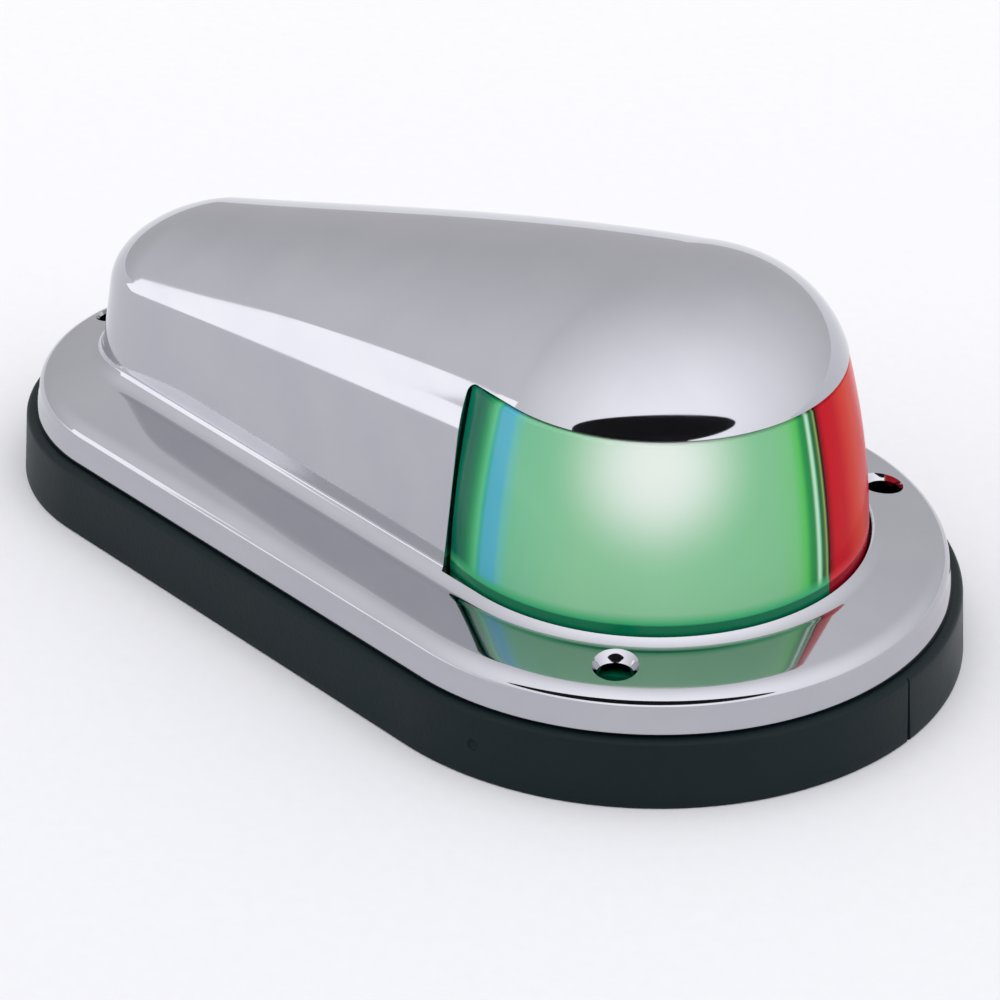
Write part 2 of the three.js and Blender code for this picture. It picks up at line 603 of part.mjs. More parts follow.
function retainerSolid() {
  let retainer = plate(PAD_OUTLINE, RETAINER_OUTER, RETAINER_BOTTOM, RETAINER_TOP);
  retainer = retainer.subtract(plate(DOME_OUTLINE, RETAINER_INNER, RETAINER_BOTTOM - 1, RETAINER_TOP + 1));
  retainer = retainer.intersect(block([LENS_X - RETAINER_REACH, -WIDE, 0], [LENS_X + WIDE, WIDE, BRIM_Z]));
  for (const [x, y] of MOUNT_PLACES) {
    retainer = retainer.subtract(post(x, y, 0, FOOT_Z, MOUNT_BOSS_RADIUS + FIT));
  }
  for (const [x, y] of RETAINER_PLACES) {
    retainer = retainer.subtract(post(x, y, 0, FOOT_Z, SMALL_SCREW_RADIUS + 0.2, undefined, 16));
    const sinkTop = RETAINER_BOTTOM + SINK_DEPTH + 0.1;
    const sink = post(x, y, RETAINER_BOTTOM - 0.1, sinkTop, SINK_RADIUS + 0.2, SMALL_SCREW_RADIUS, 20);
    retainer = retainer.subtract(sink);
  }
  return retainer;
}
solidPiece("lens_retainer", BLACK_PLASTIC, retainerSolid());

RETAINER_PLACES.forEach(([x, y], i) => {
  const top = UNDERSIDE_Z - 0.4;
  const head = post(x, y, RETAINER_BOTTOM, RETAINER_BOTTOM + SINK_DEPTH, SINK_RADIUS, SMALL_SCREW_RADIUS, 20);
  const shank = post(x, y, RETAINER_BOTTOM + SINK_DEPTH - 0.1, top, SMALL_SCREW_RADIUS, undefined, 12);
  const drive = block(
    [x - SINK_RADIUS - 1, y - 0.25, RETAINER_BOTTOM - 1],
    [x + SINK_RADIUS + 1, y + 0.25, RETAINER_BOTTOM + 0.35],
  );
  solidPiece(`retainer_screw_${i + 1}`, ZINC_STEEL, head.add(shank).subtract(drive));
});

// Screen between the two lenses, on the centre line, standing on the retainer.
function screenSolid() {
  const foot = RETAINER_TOP + STACK_GAP;
  const reach = LENS_FOOT_RADIUS - LENS_WALL - FIT;
  const top = LENS_TOP - LENS_WALL - FIT;
  const levels = span(5).map((t) => blend(FLANGE_BOTTOM, top, t));
  const front = levels.map((z) => [LENS_X + lensRadius(z) - LENS_WALL - FIT - 0.1, z]);
  const back = LENS_X + reach - SCREEN_DEPTH;
  return prism([
    [back, foot],
    [LENS_X + reach - 0.1, foot],
    ...front,
    [front.at(-1)[0] - SCREEN_DEPTH * 0.45, top],
  ], SCREEN_THICKNESS / 2);
}
solidPiece("sector_screen", BLACK_PLASTIC, screenSolid());

// ---------------------------------------------------------------- base plate and wiring
const TERMINAL_PLACES = [-1, 1].map((side) => [TERMINAL_X, (side * TERMINAL_SPACING) / 2]);

/** A solid of revolution about the bulb's axis, from a closed profile of [x, radius]. */
function spun(profile, segments = 40) {
  const points = [...profile, profile[0]].map(([x, r]) => new THREE.Vector2(r, x));
  const geometry = new THREE.LatheGeometry(points, segments);
  geometry.rotateZ(-Math.PI / 2);
  geometry.translate(0, 0, BULB_Z);
  return solidOf(geometry);
}

/** A pin across the bulb's axis, upright, from one radius to another. */
const crossPin = (x, inner, outer, radius) =>
  post(x, 0, BULB_Z + inner, BULB_Z + outer, radius, undefined, 12);

/** A solid turned about the bulb's axis. */
const turnedAboutBulb = (solid, degrees) =>
  solid.translate([0, 0, -BULB_Z]).rotate([degrees, 0, 0]).translate([0, 0, BULB_Z]);

/** The plate under the works, a smaller teardrop on the pad. */
function basePlateSolid() {
  let base = plate(DOME_OUTLINE, PLATE_INSET, PLATE_LOW, PLATE_HIGH);
  base = base.subtract(slot(WIRE_SLOT_X, WIRE_SLOT_LENGTH, WIRE_SLOT_WIDTH, 0, PLATE_HIGH + 1));
  for (const x of PLATE_SCREW_XS) {
    base = base.subtract(post(x, 0, 0, PLATE_HIGH + 1, PLATE_SCREW_RADIUS + 0.15));
  }
  for (const side of [-1, 1]) {
    const hole = post(BRACKET_FOOT_X, side * BRACKET_SCREW_Y, 0, PLATE_HIGH + 1, RIVET_RADIUS + 0.1);
    base = base.subtract(hole);
  }
  for (const [x, y] of TERMINAL_PLACES) base = base.subtract(post(x, y, 0, PLATE_HIGH + 1, TERMINAL_HOLE));
  return base;
}
solidPiece("base_plate", ZINC_STEEL, basePlateSolid());

PLATE_SCREW_XS.forEach((x, i) => {
  const under = SCREW_HEAD_TOP - 0.1;
  const head = post(x, 0, under - 1.7, under, PLATE_SCREW_HEAD - 0.9, PLATE_SCREW_HEAD, 24);
  const shank = post(x, 0, under - 0.1, PLATE_HIGH + 2.4, PLATE_SCREW_RADIUS, undefined, 16);
  const drive = block([x - 4, -0.4, under - 2], [x + 4, 0.4, under - 1.1]);
  solidPiece(`plate_screw_${i + 1}`, ZINC_STEEL, head.add(shank).subtract(drive));
  const nut = post(x, 0, PLATE_HIGH + 0.05, PLATE_HIGH + 1.9, 3.1, undefined, 6);
  const bore = post(x, 0, PLATE_HIGH - 1, PLATE_HIGH + 3, PLATE_SCREW_RADIUS + 0.1, undefined, 16);
  solidPiece(`plate_nut_${i + 1}`, ZINC_STEEL, nut.subtract(bore));
});

/** The rubber grommet that lines the wire way through plate and pad. */
function grommetSolid() {
  const low = PAD_HEIGHT - 4;
  const high = PLATE_HIGH + 1.6;
  const sleeve = slot(WIRE_SLOT_X, WIRE_SLOT_LENGTH - FIT, WIRE_SLOT_WIDTH - FIT, low, PLATE_HIGH + 0.5);
  const flange = slot(WIRE_SLOT_X, WIRE_SLOT_LENGTH + 3, WIRE_SLOT_WIDTH + 3, PLATE_HIGH + STACK_GAP, high);
  const inner = WIRE_SLOT_WIDTH - FIT - 2 * GROMMET_WALL;
  const way = slot(WIRE_SLOT_X, WIRE_SLOT_LENGTH - FIT - 2 * GROMMET_WALL, inner, low - 1, high + 1);
  return sleeve.add(flange).subtract(way);
}
solidPiece("wire_grommet", RUBBER, grommetSolid());

/** The bent sheet bracket that holds the socket's shell. */
function bracketSolid() {
  const back = BRACKET_X;
  const front = BRACKET_X + BRACKET_THICKNESS;
  const low = PLATE_HIGH + 0.05;
  const bend = span(4).map((t) => {
    const angle = (t * Math.PI) / 2;
    return [back + 2.2 * (1 - Math.sin(angle)), low + 2.2 * (1 - Math.cos(angle))];
  });
  const innerBend = span(4).map((t) => {
    const angle = (t * Math.PI) / 2;
    return [front + 0.8 * (1 - Math.cos(angle)), low + BRACKET_THICKNESS + 0.8 * (1 - Math.sin(angle))];
  });
  const side = [
    ...bend.reverse(),
    [front + BRACKET_FOOT, low],
    [front + BRACKET_FOOT, low + BRACKET_THICKNESS],
    ...innerBend.reverse(),
    [front, BULB_Z + 20],
    [back, BULB_Z + 20],
  ];
  const face = rod(back - 1, front + BRACKET_FOOT + 1, BRACKET_HALF_WIDTH, 40).add(block(
    [back - 1, -BRACKET_HALF_WIDTH, low - 1],
    [front + BRACKET_FOOT + 1, BRACKET_HALF_WIDTH, BULB_Z],
  ));
  let bracket = prism(side, BRACKET_HALF_WIDTH + 1).intersect(face);
  bracket = bracket.subtract(rod(back - 2, front + 2, SHELL_OUTER + 0.1, 40));
  for (const sign of [-1, 1]) {
    bracket = bracket.subtract(post(BRACKET_FOOT_X, sign * BRACKET_SCREW_Y, 0, low + 3, RIVET_RADIUS + 0.1));
  }
  return bracket;
}
solidPiece("socket_bracket", ZINC_STEEL, bracketSolid());

[-1, 1].forEach((sign, i) => {
  const y = sign * BRACKET_SCREW_Y;
  const seat = PLATE_HIGH + 0.1 + BRACKET_THICKNESS;
  const shank = post(BRACKET_FOOT_X, y, PLATE_LOW + 0.1, seat + 0.3, RIVET_RADIUS, undefined, 16);
  const head = post(BRACKET_FOOT_X, y, seat, seat + 0.9, 2.4, 1.7, 20);
  solidPiece(`bracket_rivet_${i + 1}`, ZINC_STEEL, shank.add(head));
});

/** The socket's brass shell with its collar, rear lip and two L-shaped pin slots. */
function shellSolid() {
  const collarBack = BRACKET_X + BRACKET_THICKNESS + 0.1;
  let shell = spun([
    [SHELL_BACK, SHELL_INNER - 1.2],
    [SHELL_BACK, SHELL_OUTER],
    [collarBack, SHELL_OUTER],
    [collarBack, COLLAR_RADIUS],
    [collarBack + 0.8, COLLAR_RADIUS],
    [collarBack + 0.8, SHELL_OUTER],
    [SHELL_FRONT - 0.8, SHELL_OUTER],
    [SHELL_FRONT - 0.3, SHELL_OUTER + SHELL_LIP],
    [SHELL_FRONT, SHELL_OUTER + SHELL_LIP],
    [SHELL_FRONT, SHELL_INNER + 0.4],
    [SHELL_FRONT - 0.8, SHELL_INNER],
    [SHELL_BACK + 0.6, SHELL_INNER],
    [SHELL_BACK + 0.6, SHELL_INNER - 1.2],
  ], 48);
  const halfSlot = PIN_RADIUS + 0.35;
  const slotCorner = [PIN_X - PUSH_TRAVEL - halfSlot, -halfSlot, BULB_Z + 5];
  const cutter = block(slotCorner, [PIN_X + halfSlot, halfSlot, BULB_Z + 12]);
  const entry = block(slotCorner, [SHELL_FRONT + 1, halfSlot, BULB_Z + 12]);
  for (const start of [0, 180]) {
    for (const share of span(3)) {
      shell = shell.subtract(turnedAboutBulb(cutter, start + share * TWIST_DEGREES));
    }
    shell = shell.subtract(turnedAboutBulb(entry, start + TWIST_DEGREES));
  }
  return shell;
}
solidPiece("socket_shell", BRASS, shellSolid());

const insulator = rod(INSULATOR_BACK, INSULATOR_FRONT, SHELL_INNER - 0.1);
solidPiece("socket_insulator", PHENOLIC, insulator.subtract(rod(SHELL_BACK, CAP_BACK, STEM_RADIUS + 0.15)));

// Contact plunger: the disc rides inside the shell on a stem, pushed forward by the spring.
solidPiece("contact_disc", PHENOLIC, rod(DISC_BACK, DISC_FRONT, DISC_RADIUS).subtract(
  rod(SHELL_BACK, CAP_BACK, STEM_RADIUS + 0.1, 16),
));
function contactStem() {
  const stem = rod(SHELL_BACK - 2, DISC_FRONT + 0.3, STEM_RADIUS, 16);
  const head = spun([
    [DISC_FRONT + 0.05, 0],
    [DISC_FRONT + 0.05, 2.4],
    [CONTACT_TIP - 0.45, 2.4],
    [CONTACT_TIP - 0.05, 1.7],
    [CONTACT_TIP - 0.05, 0],
  ], 20);
  return stem.add(head);
}
solidPiece("contact_stem", BRASS, contactStem());

solidPiece("stem_clip", ZINC_STEEL, rod(CLIP_FRONT - 0.5, CLIP_FRONT, STEM_RADIUS + 0.8).subtract(
  rod(CLIP_FRONT - 1, CLIP_FRONT + 1, STEM_RADIUS + 0.02, 16),
));
solidPiece("contact_eyelet", BRASS, rod(EYELET_BACK, INSULATOR_BACK - 0.05, EYELET_RADIUS).subtract(
  rod(SHELL_BACK - 1, CAP_BACK, STEM_RADIUS + 0.15),
));

function springGeometry() {
  const back = INSULATOR_FRONT + SPRING_WIRE + 0.05;
  const front = DISC_BACK - SPRING_WIRE - 0.05;
  const steps = SPRING_TURNS * 12;
  const points = span(steps).map((t) => {
    const angle = t * SPRING_TURNS * 2 * Math.PI;
    return [blend(back, front, t), SPRING_RADIUS * Math.cos(angle), BULB_Z + SPRING_RADIUS * Math.sin(angle)];
  });
  return cable(points, SPRING_WIRE, 6, steps);
}
piece("contact_spring", ZINC_STEEL, springGeometry());

// ---------------------------------------------------------------- bulb
function capSolid() {
  const cap = spun([
    [CAP_BACK, 0],
    [CAP_BACK, CAP_RADIUS - 1.6],
    [CAP_BACK + 1.4, CAP_RADIUS],
    [CAP_FRONT - 1.2, CAP_RADIUS],
    [CAP_FRONT - 0.8, CAP_RADIUS - 0.35],
    [CAP_FRONT, CAP_RADIUS - 0.35],
    [CAP_FRONT, GLASS_NECK + 0.15],
    [CAP_FRONT - 4, GLASS_NECK + 0.15],
    [CAP_FRONT - 4, 0],
  ], 36);
  const reach = CAP_RADIUS + PIN_PROUD;
  return cap
    .add(crossPin(PIN_X, CAP_RADIUS - 1, reach, PIN_RADIUS))
    .add(crossPin(PIN_X, -reach, 1 - CAP_RADIUS, PIN_RADIUS))
    .subtract(rod(CAP_BACK - 1, CAP_BACK + 0.6, 3.8, 24));
}
solidPiece("bulb_cap", BRASS, capSolid());
solidPiece("bulb_base_insulator", PHENOLIC, spun([
  [CAP_BACK - 0.5, 2],
  [CAP_BACK - 0.5, 3.6],
  [CAP_BACK + 0.55, 3.6],
  [CAP_BACK + 0.55, 2],
], 24));
solidPiece("bulb_contact", SOLDER, spun([
  [CONTACT_TIP, 0],
  [CONTACT_TIP, 0.6],
  [CAP_BACK - 1.1, 1.3],
  [CAP_BACK - 0.7, 1.8],
  [CAP_BACK + 0.55, 1.8],
  [CAP_BACK + 0.55, 0],
], 20));

/** The bulb's glass: a closed globe on a neck, hollow, and open at the neck's end inside the cap. */
function glassSolid() {
  const start = CAP_FRONT - 3.8;
  const tip = CAP_FRONT + GLASS_LENGTH;
  const centre = tip - GLASS_RADIUS;
  const neckEnd = CAP_FRONT + 2;
  const outerArc = span(10).map((t) => {
    const angle = blend(2.3, 0, t);
    return [centre + GLASS_RADIUS * Math.cos(angle), GLASS_RADIUS * Math.sin(angle)];
  });
  const inner = GLASS_RADIUS - GLASS_WALL;
  const innerArc = span(8).map((t) => {
    const angle = blend(0, 2.3, t);
    return [centre + inner * Math.cos(angle), inner * Math.sin(angle)];
  });
  return spun([
    [start, GLASS_NECK - GLASS_WALL],
    [start, GLASS_NECK],
    [neckEnd - 1.6, GLASS_NECK],
    ...outerArc.map(([x, r]) => [x, Math.max(r, 0)]),
    ...innerArc.map(([x, r]) => [x, Math.max(r, 0)]),
    [neckEnd - 1.6, GLASS_NECK - GLASS_WALL],
  ], 28);
}
solidPiece("bulb_glass", GLASS, glassSolid());

// Glass mount that carries the two posts, with the filament between their tips.
solidPiece("filament_mount", GLASS, spun([
  [MOUNT_BACK, 0],
  [MOUNT_BACK, GLASS_NECK - GLASS_WALL - 0.3],
  [MOUNT_BACK + 0.8, GLASS_NECK - GLASS_WALL - 0.3],
  [MOUNT_BACK + 2, 2.4],
  [CAP_FRONT + 1, 2],
  [CAP_FRONT + 1.6, 0],
], 24));
[-1, 1].forEach((sign, i) => {
  const points = [
    [CAP_FRONT + 1.9, sign * 1.1, BULB_Z],
    [CAP_FRONT + 4, sign * 1.6, BULB_Z],
    [FILAMENT_X - 2, sign * POST_Y, BULB_Z],
    [FILAMENT_X, sign * POST_Y, BULB_Z],
  ];
  piece(`filament_post_${i + 1}`, TUNGSTEN, cable(points, 0.25, 6, 12));
});
const filamentPoints = span(60).map((t) => {
  const angle = t * 12 * Math.PI;
  return [
    FILAMENT_X + 0.35 * Math.cos(angle),
    blend(-POST_Y + 0.5, POST_Y - 0.5, t),
    BULB_Z + 0.35 * Math.sin(angle),
  ];
});
piece("filament", TUNGSTEN, cable(filamentPoints, 0.1, 4, 60));

// ---------------------------------------------------------------- terminals and leads
TERMINAL_PLACES.forEach(([x, y], i) => {
  const stud = post(x, y, PAD_HEIGHT - 2, PLATE_HIGH + 6, 1.4, undefined, 16);
  const foot = post(x, y, PAD_HEIGHT - 2.6, PAD_HEIGHT - 1.4, 3, undefined, 20);
  solidPiece(`terminal_stud_${i + 1}`, BRASS, stud.add(foot));
  const bush = post(x, y, PAD_HEIGHT - 1.3, PLATE_HIGH + 0.5, TERMINAL_HOLE - 0.1, undefined, 24)
    .add(post(x, y, PLATE_HIGH + 0.1, PLATE_HIGH + 1.1, 3.8, undefined, 24))
    .subtract(post(x, y, 0, PLATE_HIGH + 3, 1.5, undefined, 16));
  solidPiece(`terminal_bush_${i + 1}`, PHENOLIC, bush);
  const tagLow = PLATE_HIGH + 1.15;
  const tagHigh = tagLow + TAG_THICKNESS;
  const tag = post(x, y, tagLow, tagHigh, 3.1)
    .add(block([x, y - 1.1, tagLow], [x + TAG_REACH, y + 1.1, tagHigh]))
    .subtract(post(x, y, 0, tagHigh + 1, 1.5, undefined, 16));
  solidPiece(`terminal_tag_${i + 1}`, SOLDER, tag);
  const nut = post(x, y, tagHigh + 0.05, tagHigh + 2, 3, undefined, 6);
  solidPiece(`terminal_nut_${i + 1}`, BRASS, nut.subtract(post(x, y, 0, tagHigh + 9, 1.5, undefined, 16)));
});

// Leads inside the light: starboard terminal to the bracket, port terminal to the contact's eyelet.
piece("lead_black", BLACK_LEAD, cable([
  [LEAD_START, -HALF_SPACING, LEAD_LOW],
  [LEAD_START + 5, -HALF_SPACING, LEAD_LOW + 0.4],
  [LEAD_START + 13, -HALF_SPACING - 1.5, LEAD_LOW + 2.5],
  [BRACKET_X - 6, -HALF_SPACING - 2, LEAD_LOW + 5],
  [BRACKET_X - 0.1, -HALF_SPACING - 2, LEAD_LOW + 5.3],
], LEAD_RADIUS));
piece("lead_red", RED_LEAD, cable([
  [LEAD_START, HALF_SPACING, LEAD_LOW],
  [LEAD_START + 5, HALF_SPACING, LEAD_LOW + 0.4],
  [EYELET_BACK - 8, HALF_SPACING - 1.5, LEAD_LOW + 6],
  [EYELET_BACK - 3, 2.6, BULB_Z - 2.8],
  [EYELET_BACK - 0.6, 2.2, BULB_Z - 2.3],
], LEAD_RADIUS));

export default new THREE.Group().add(...meshes.values());
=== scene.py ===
"""The looks of a bicolour bow navigation light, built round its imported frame.

Lengths are millimetres and become metres where a mesh is made. +X is the bow, +Y is port, the red
side, and +Z is up.
"""

from __future__ import annotations

import json
import logging
import math
from dataclasses import dataclass, field
from enum import Enum

import bmesh
import bpy
import numpy as np
from mathutils import Matrix, Vector

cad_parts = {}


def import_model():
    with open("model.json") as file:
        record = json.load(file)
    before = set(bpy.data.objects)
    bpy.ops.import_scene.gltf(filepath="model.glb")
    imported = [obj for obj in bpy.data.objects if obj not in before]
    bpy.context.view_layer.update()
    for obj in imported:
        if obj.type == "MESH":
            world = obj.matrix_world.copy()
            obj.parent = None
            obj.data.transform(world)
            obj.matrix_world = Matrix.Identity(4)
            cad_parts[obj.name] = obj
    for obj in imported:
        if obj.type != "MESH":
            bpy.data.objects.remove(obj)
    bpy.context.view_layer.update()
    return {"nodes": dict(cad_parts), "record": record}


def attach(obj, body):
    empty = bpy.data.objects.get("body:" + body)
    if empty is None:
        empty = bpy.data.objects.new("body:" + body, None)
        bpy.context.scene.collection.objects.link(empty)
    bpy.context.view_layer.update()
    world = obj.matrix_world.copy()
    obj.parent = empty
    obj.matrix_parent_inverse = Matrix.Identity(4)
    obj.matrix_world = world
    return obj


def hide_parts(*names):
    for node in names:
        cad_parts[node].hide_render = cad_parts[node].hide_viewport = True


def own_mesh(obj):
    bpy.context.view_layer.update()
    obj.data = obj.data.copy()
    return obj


LOG = logging.getLogger("bow_light")
MM = 0.001
LENS_X = 28.75

Tree = bpy.types.NodeTree
Socket = bpy.types.NodeSocket
Inputs = dict[str | int, object]

NOISE = "ShaderNodeTexNoise"
RANGE = "ShaderNodeMapRange"
MIX = "ShaderNodeMix"
BUMP = "ShaderNodeBump"
MATHS = "ShaderNodeMath"
# Nearly all of a noise falls between these values, so a range mapped from them is used in full.
MIDDLE = {"From Min": 0.3, "From Max": 0.7}


# ---------------------------------------------------------------- colour and shader helpers
def linear(code: str) -> tuple[float, float, float, float]:
    """Turns an sRGB hex colour into linear RGBA.

    Each channel is c / 12.92 below 0.04045, else ((c + 0.055) / 1.055) to the power 2.4.

    Args:
        code: six hex digits, with or without a leading #.

    Returns:
        Linear red, green, blue and an alpha of 1.
    """
    digits = code.lstrip("#")
    channels = [int(digits[i : i + 2], 16) / 255 for i in (0, 2, 4)]
    bent = [c / 12.92 if c <= 0.04045 else ((c + 0.055) / 1.055) ** 2.4 for c in channels]
    return (*bent, 1.0)


def grain(size_mm: float) -> float:
    """Gives the noise scale whose blotches are about size_mm across, on coordinates in metres."""
    return 1 / (size_mm * MM)


def add_node(
    tree: Tree, kind: str, inputs: Inputs | None = None, **settings: object
) -> bpy.types.Node:
    """Adds one node with its settings, socket values and links.

    Args:
        tree: the node tree.
        kind: the node's type name.
        inputs: socket name or index to a value, or to an output socket that is linked to it.
        **settings: attributes of the node.

    Returns:
        The new node.
    """
    node = tree.nodes.new(kind)
    for key, value in settings.items():
        setattr(node, key, value)
    for key, value in (inputs or {}).items():
        socket = node.inputs[key]
        if isinstance(value, bpy.types.NodeSocket):
            tree.links.new(value, socket)
        else:
            socket.default_value = value
    return node


# ---------------------------------------------------------------- finishes
@dataclass(frozen=True)
class Finish:
    """A real material and how its surface was made. Each kind gives its own shader inputs."""

    name: str

    def inputs(self, tree: Tree, where: Socket) -> Inputs:
        """Adds the finish's patterns.

        Args:
            tree: the material's node tree.
            where: Object coordinates, in metres.

        Returns:
            The shader's sockets, as values or links.
        """
        raise NotImplementedError

    def build(self) -> bpy.types.Material:
        """Builds the material: coordinates, the finish's patterns, one shader and the output.

        Returns:
            The material.
        """
        material = bpy.data.materials.new(self.name)
        material.use_nodes = True
        tree = material.node_tree
        tree.nodes.clear()
        where = add_node(tree, "ShaderNodeTexCoord").outputs["Object"]
        shader = add_node(tree, "ShaderNodeBsdfPrincipled", self.inputs(tree, where))
        add_node(tree, "ShaderNodeOutputMaterial", {"Surface": shader.outputs["BSDF"]})
        return material


@dataclass(frozen=True)
class PlatedChrome(Finish):
    """Bright chrome plate on polished die-cast zinc: a mirror with the casting's faint waviness."""

    name: str = "chrome_plate_on_die_cast_zinc"
    tint: str = "#B9B9BE"
    shade: str = "#AFAFB6"
    roughness: float = 0.035
    haze: float = 0.075
    haze_mm: float = 9.0
    wave_mm: float = 16.0
    wave_depth_mm: float = 0.012

    def inputs(self, tree: Tree, where: Socket) -> Inputs:
        """Adds wide polishing waves for the normal, and a thin haze for colour and roughness.

        Args:
            tree: the material's node tree.
            where: Object coordinates, in metres.

        Returns:
            The shader's sockets, as values or links.
        """
        thin = {"Vector": where, "Scale": grain(self.haze_mm), "Detail": 3.0}
        haze = add_node(tree, NOISE, thin).outputs["Fac"]
        wide = {"Vector": where, "Scale": grain(self.wave_mm), "Detail": 1.0}
        wave = add_node(tree, NOISE, wide).outputs["Fac"]
        tones = {0: haze, 6: linear(self.tint), 7: linear(self.shade)}
        gloss = {"Value": haze, "To Min": self.roughness, "To Max": self.haze, **MIDDLE}
        swell = {"Height": wave, "Distance": self.wave_depth_mm * MM, "Strength": 1.0}
        return {
            "Base Color": add_node(tree, MIX, tones, data_type="RGBA").outputs[2],
            "Metallic": 1.0,
            "Roughness": add_node(tree, RANGE, gloss).outputs["Result"],
            "Normal": add_node(tree, BUMP, swell).outputs["Normal"],
        }


@dataclass(frozen=True)
class MouldedRubber(Finish):
    """Compression-moulded black rubber: satin, finely grained, greyed in patches by its bloom."""

    dark: str = "#061417"
    bloom: str = "#122024"
    roughness: float = 0.4
    spread: float = 0.14
    bloom_mm: float = 14.0
    grain_mm: float = 0.55
    grain_depth_mm: float = 0.03

    def inputs(self, tree: Tree, where: Socket) -> Inputs:
        """Adds bloom for colour and roughness, and the mould's grain for the normal.

        Args:
            tree: the material's node tree.
            where: Object coordinates, in metres.

        Returns:
            The shader's sockets, as values or links.
        """
        cloudy = {"Vector": where, "Scale": grain(self.bloom_mm), "Detail": 4.0}
        patches = add_node(tree, NOISE, cloudy).outputs["Fac"]
        fine = {"Vector": where, "Scale": grain(self.grain_mm), "Detail": 3.0}
        skin = add_node(tree, NOISE, fine).outputs["Fac"]
        tones = {0: patches, 6: linear(self.dark), 7: linear(self.bloom)}
        dullest = self.roughness + self.spread
        gloss = {"Value": patches, "To Min": self.roughness, "To Max": dullest, **MIDDLE}
        bumps = {"Height": skin, "Distance": self.grain_depth_mm * MM, "Strength": 1.0}
        return {
            "Base Color": add_node(tree, MIX, tones, data_type="RGBA").outputs[2],
            "Roughness": add_node(tree, RANGE, gloss).outputs["Result"],
            "IOR": 1.4,
            "Specular IOR Level": 0.22,
            "Normal": add_node(tree, BUMP, bumps).outputs["Normal"],
        }


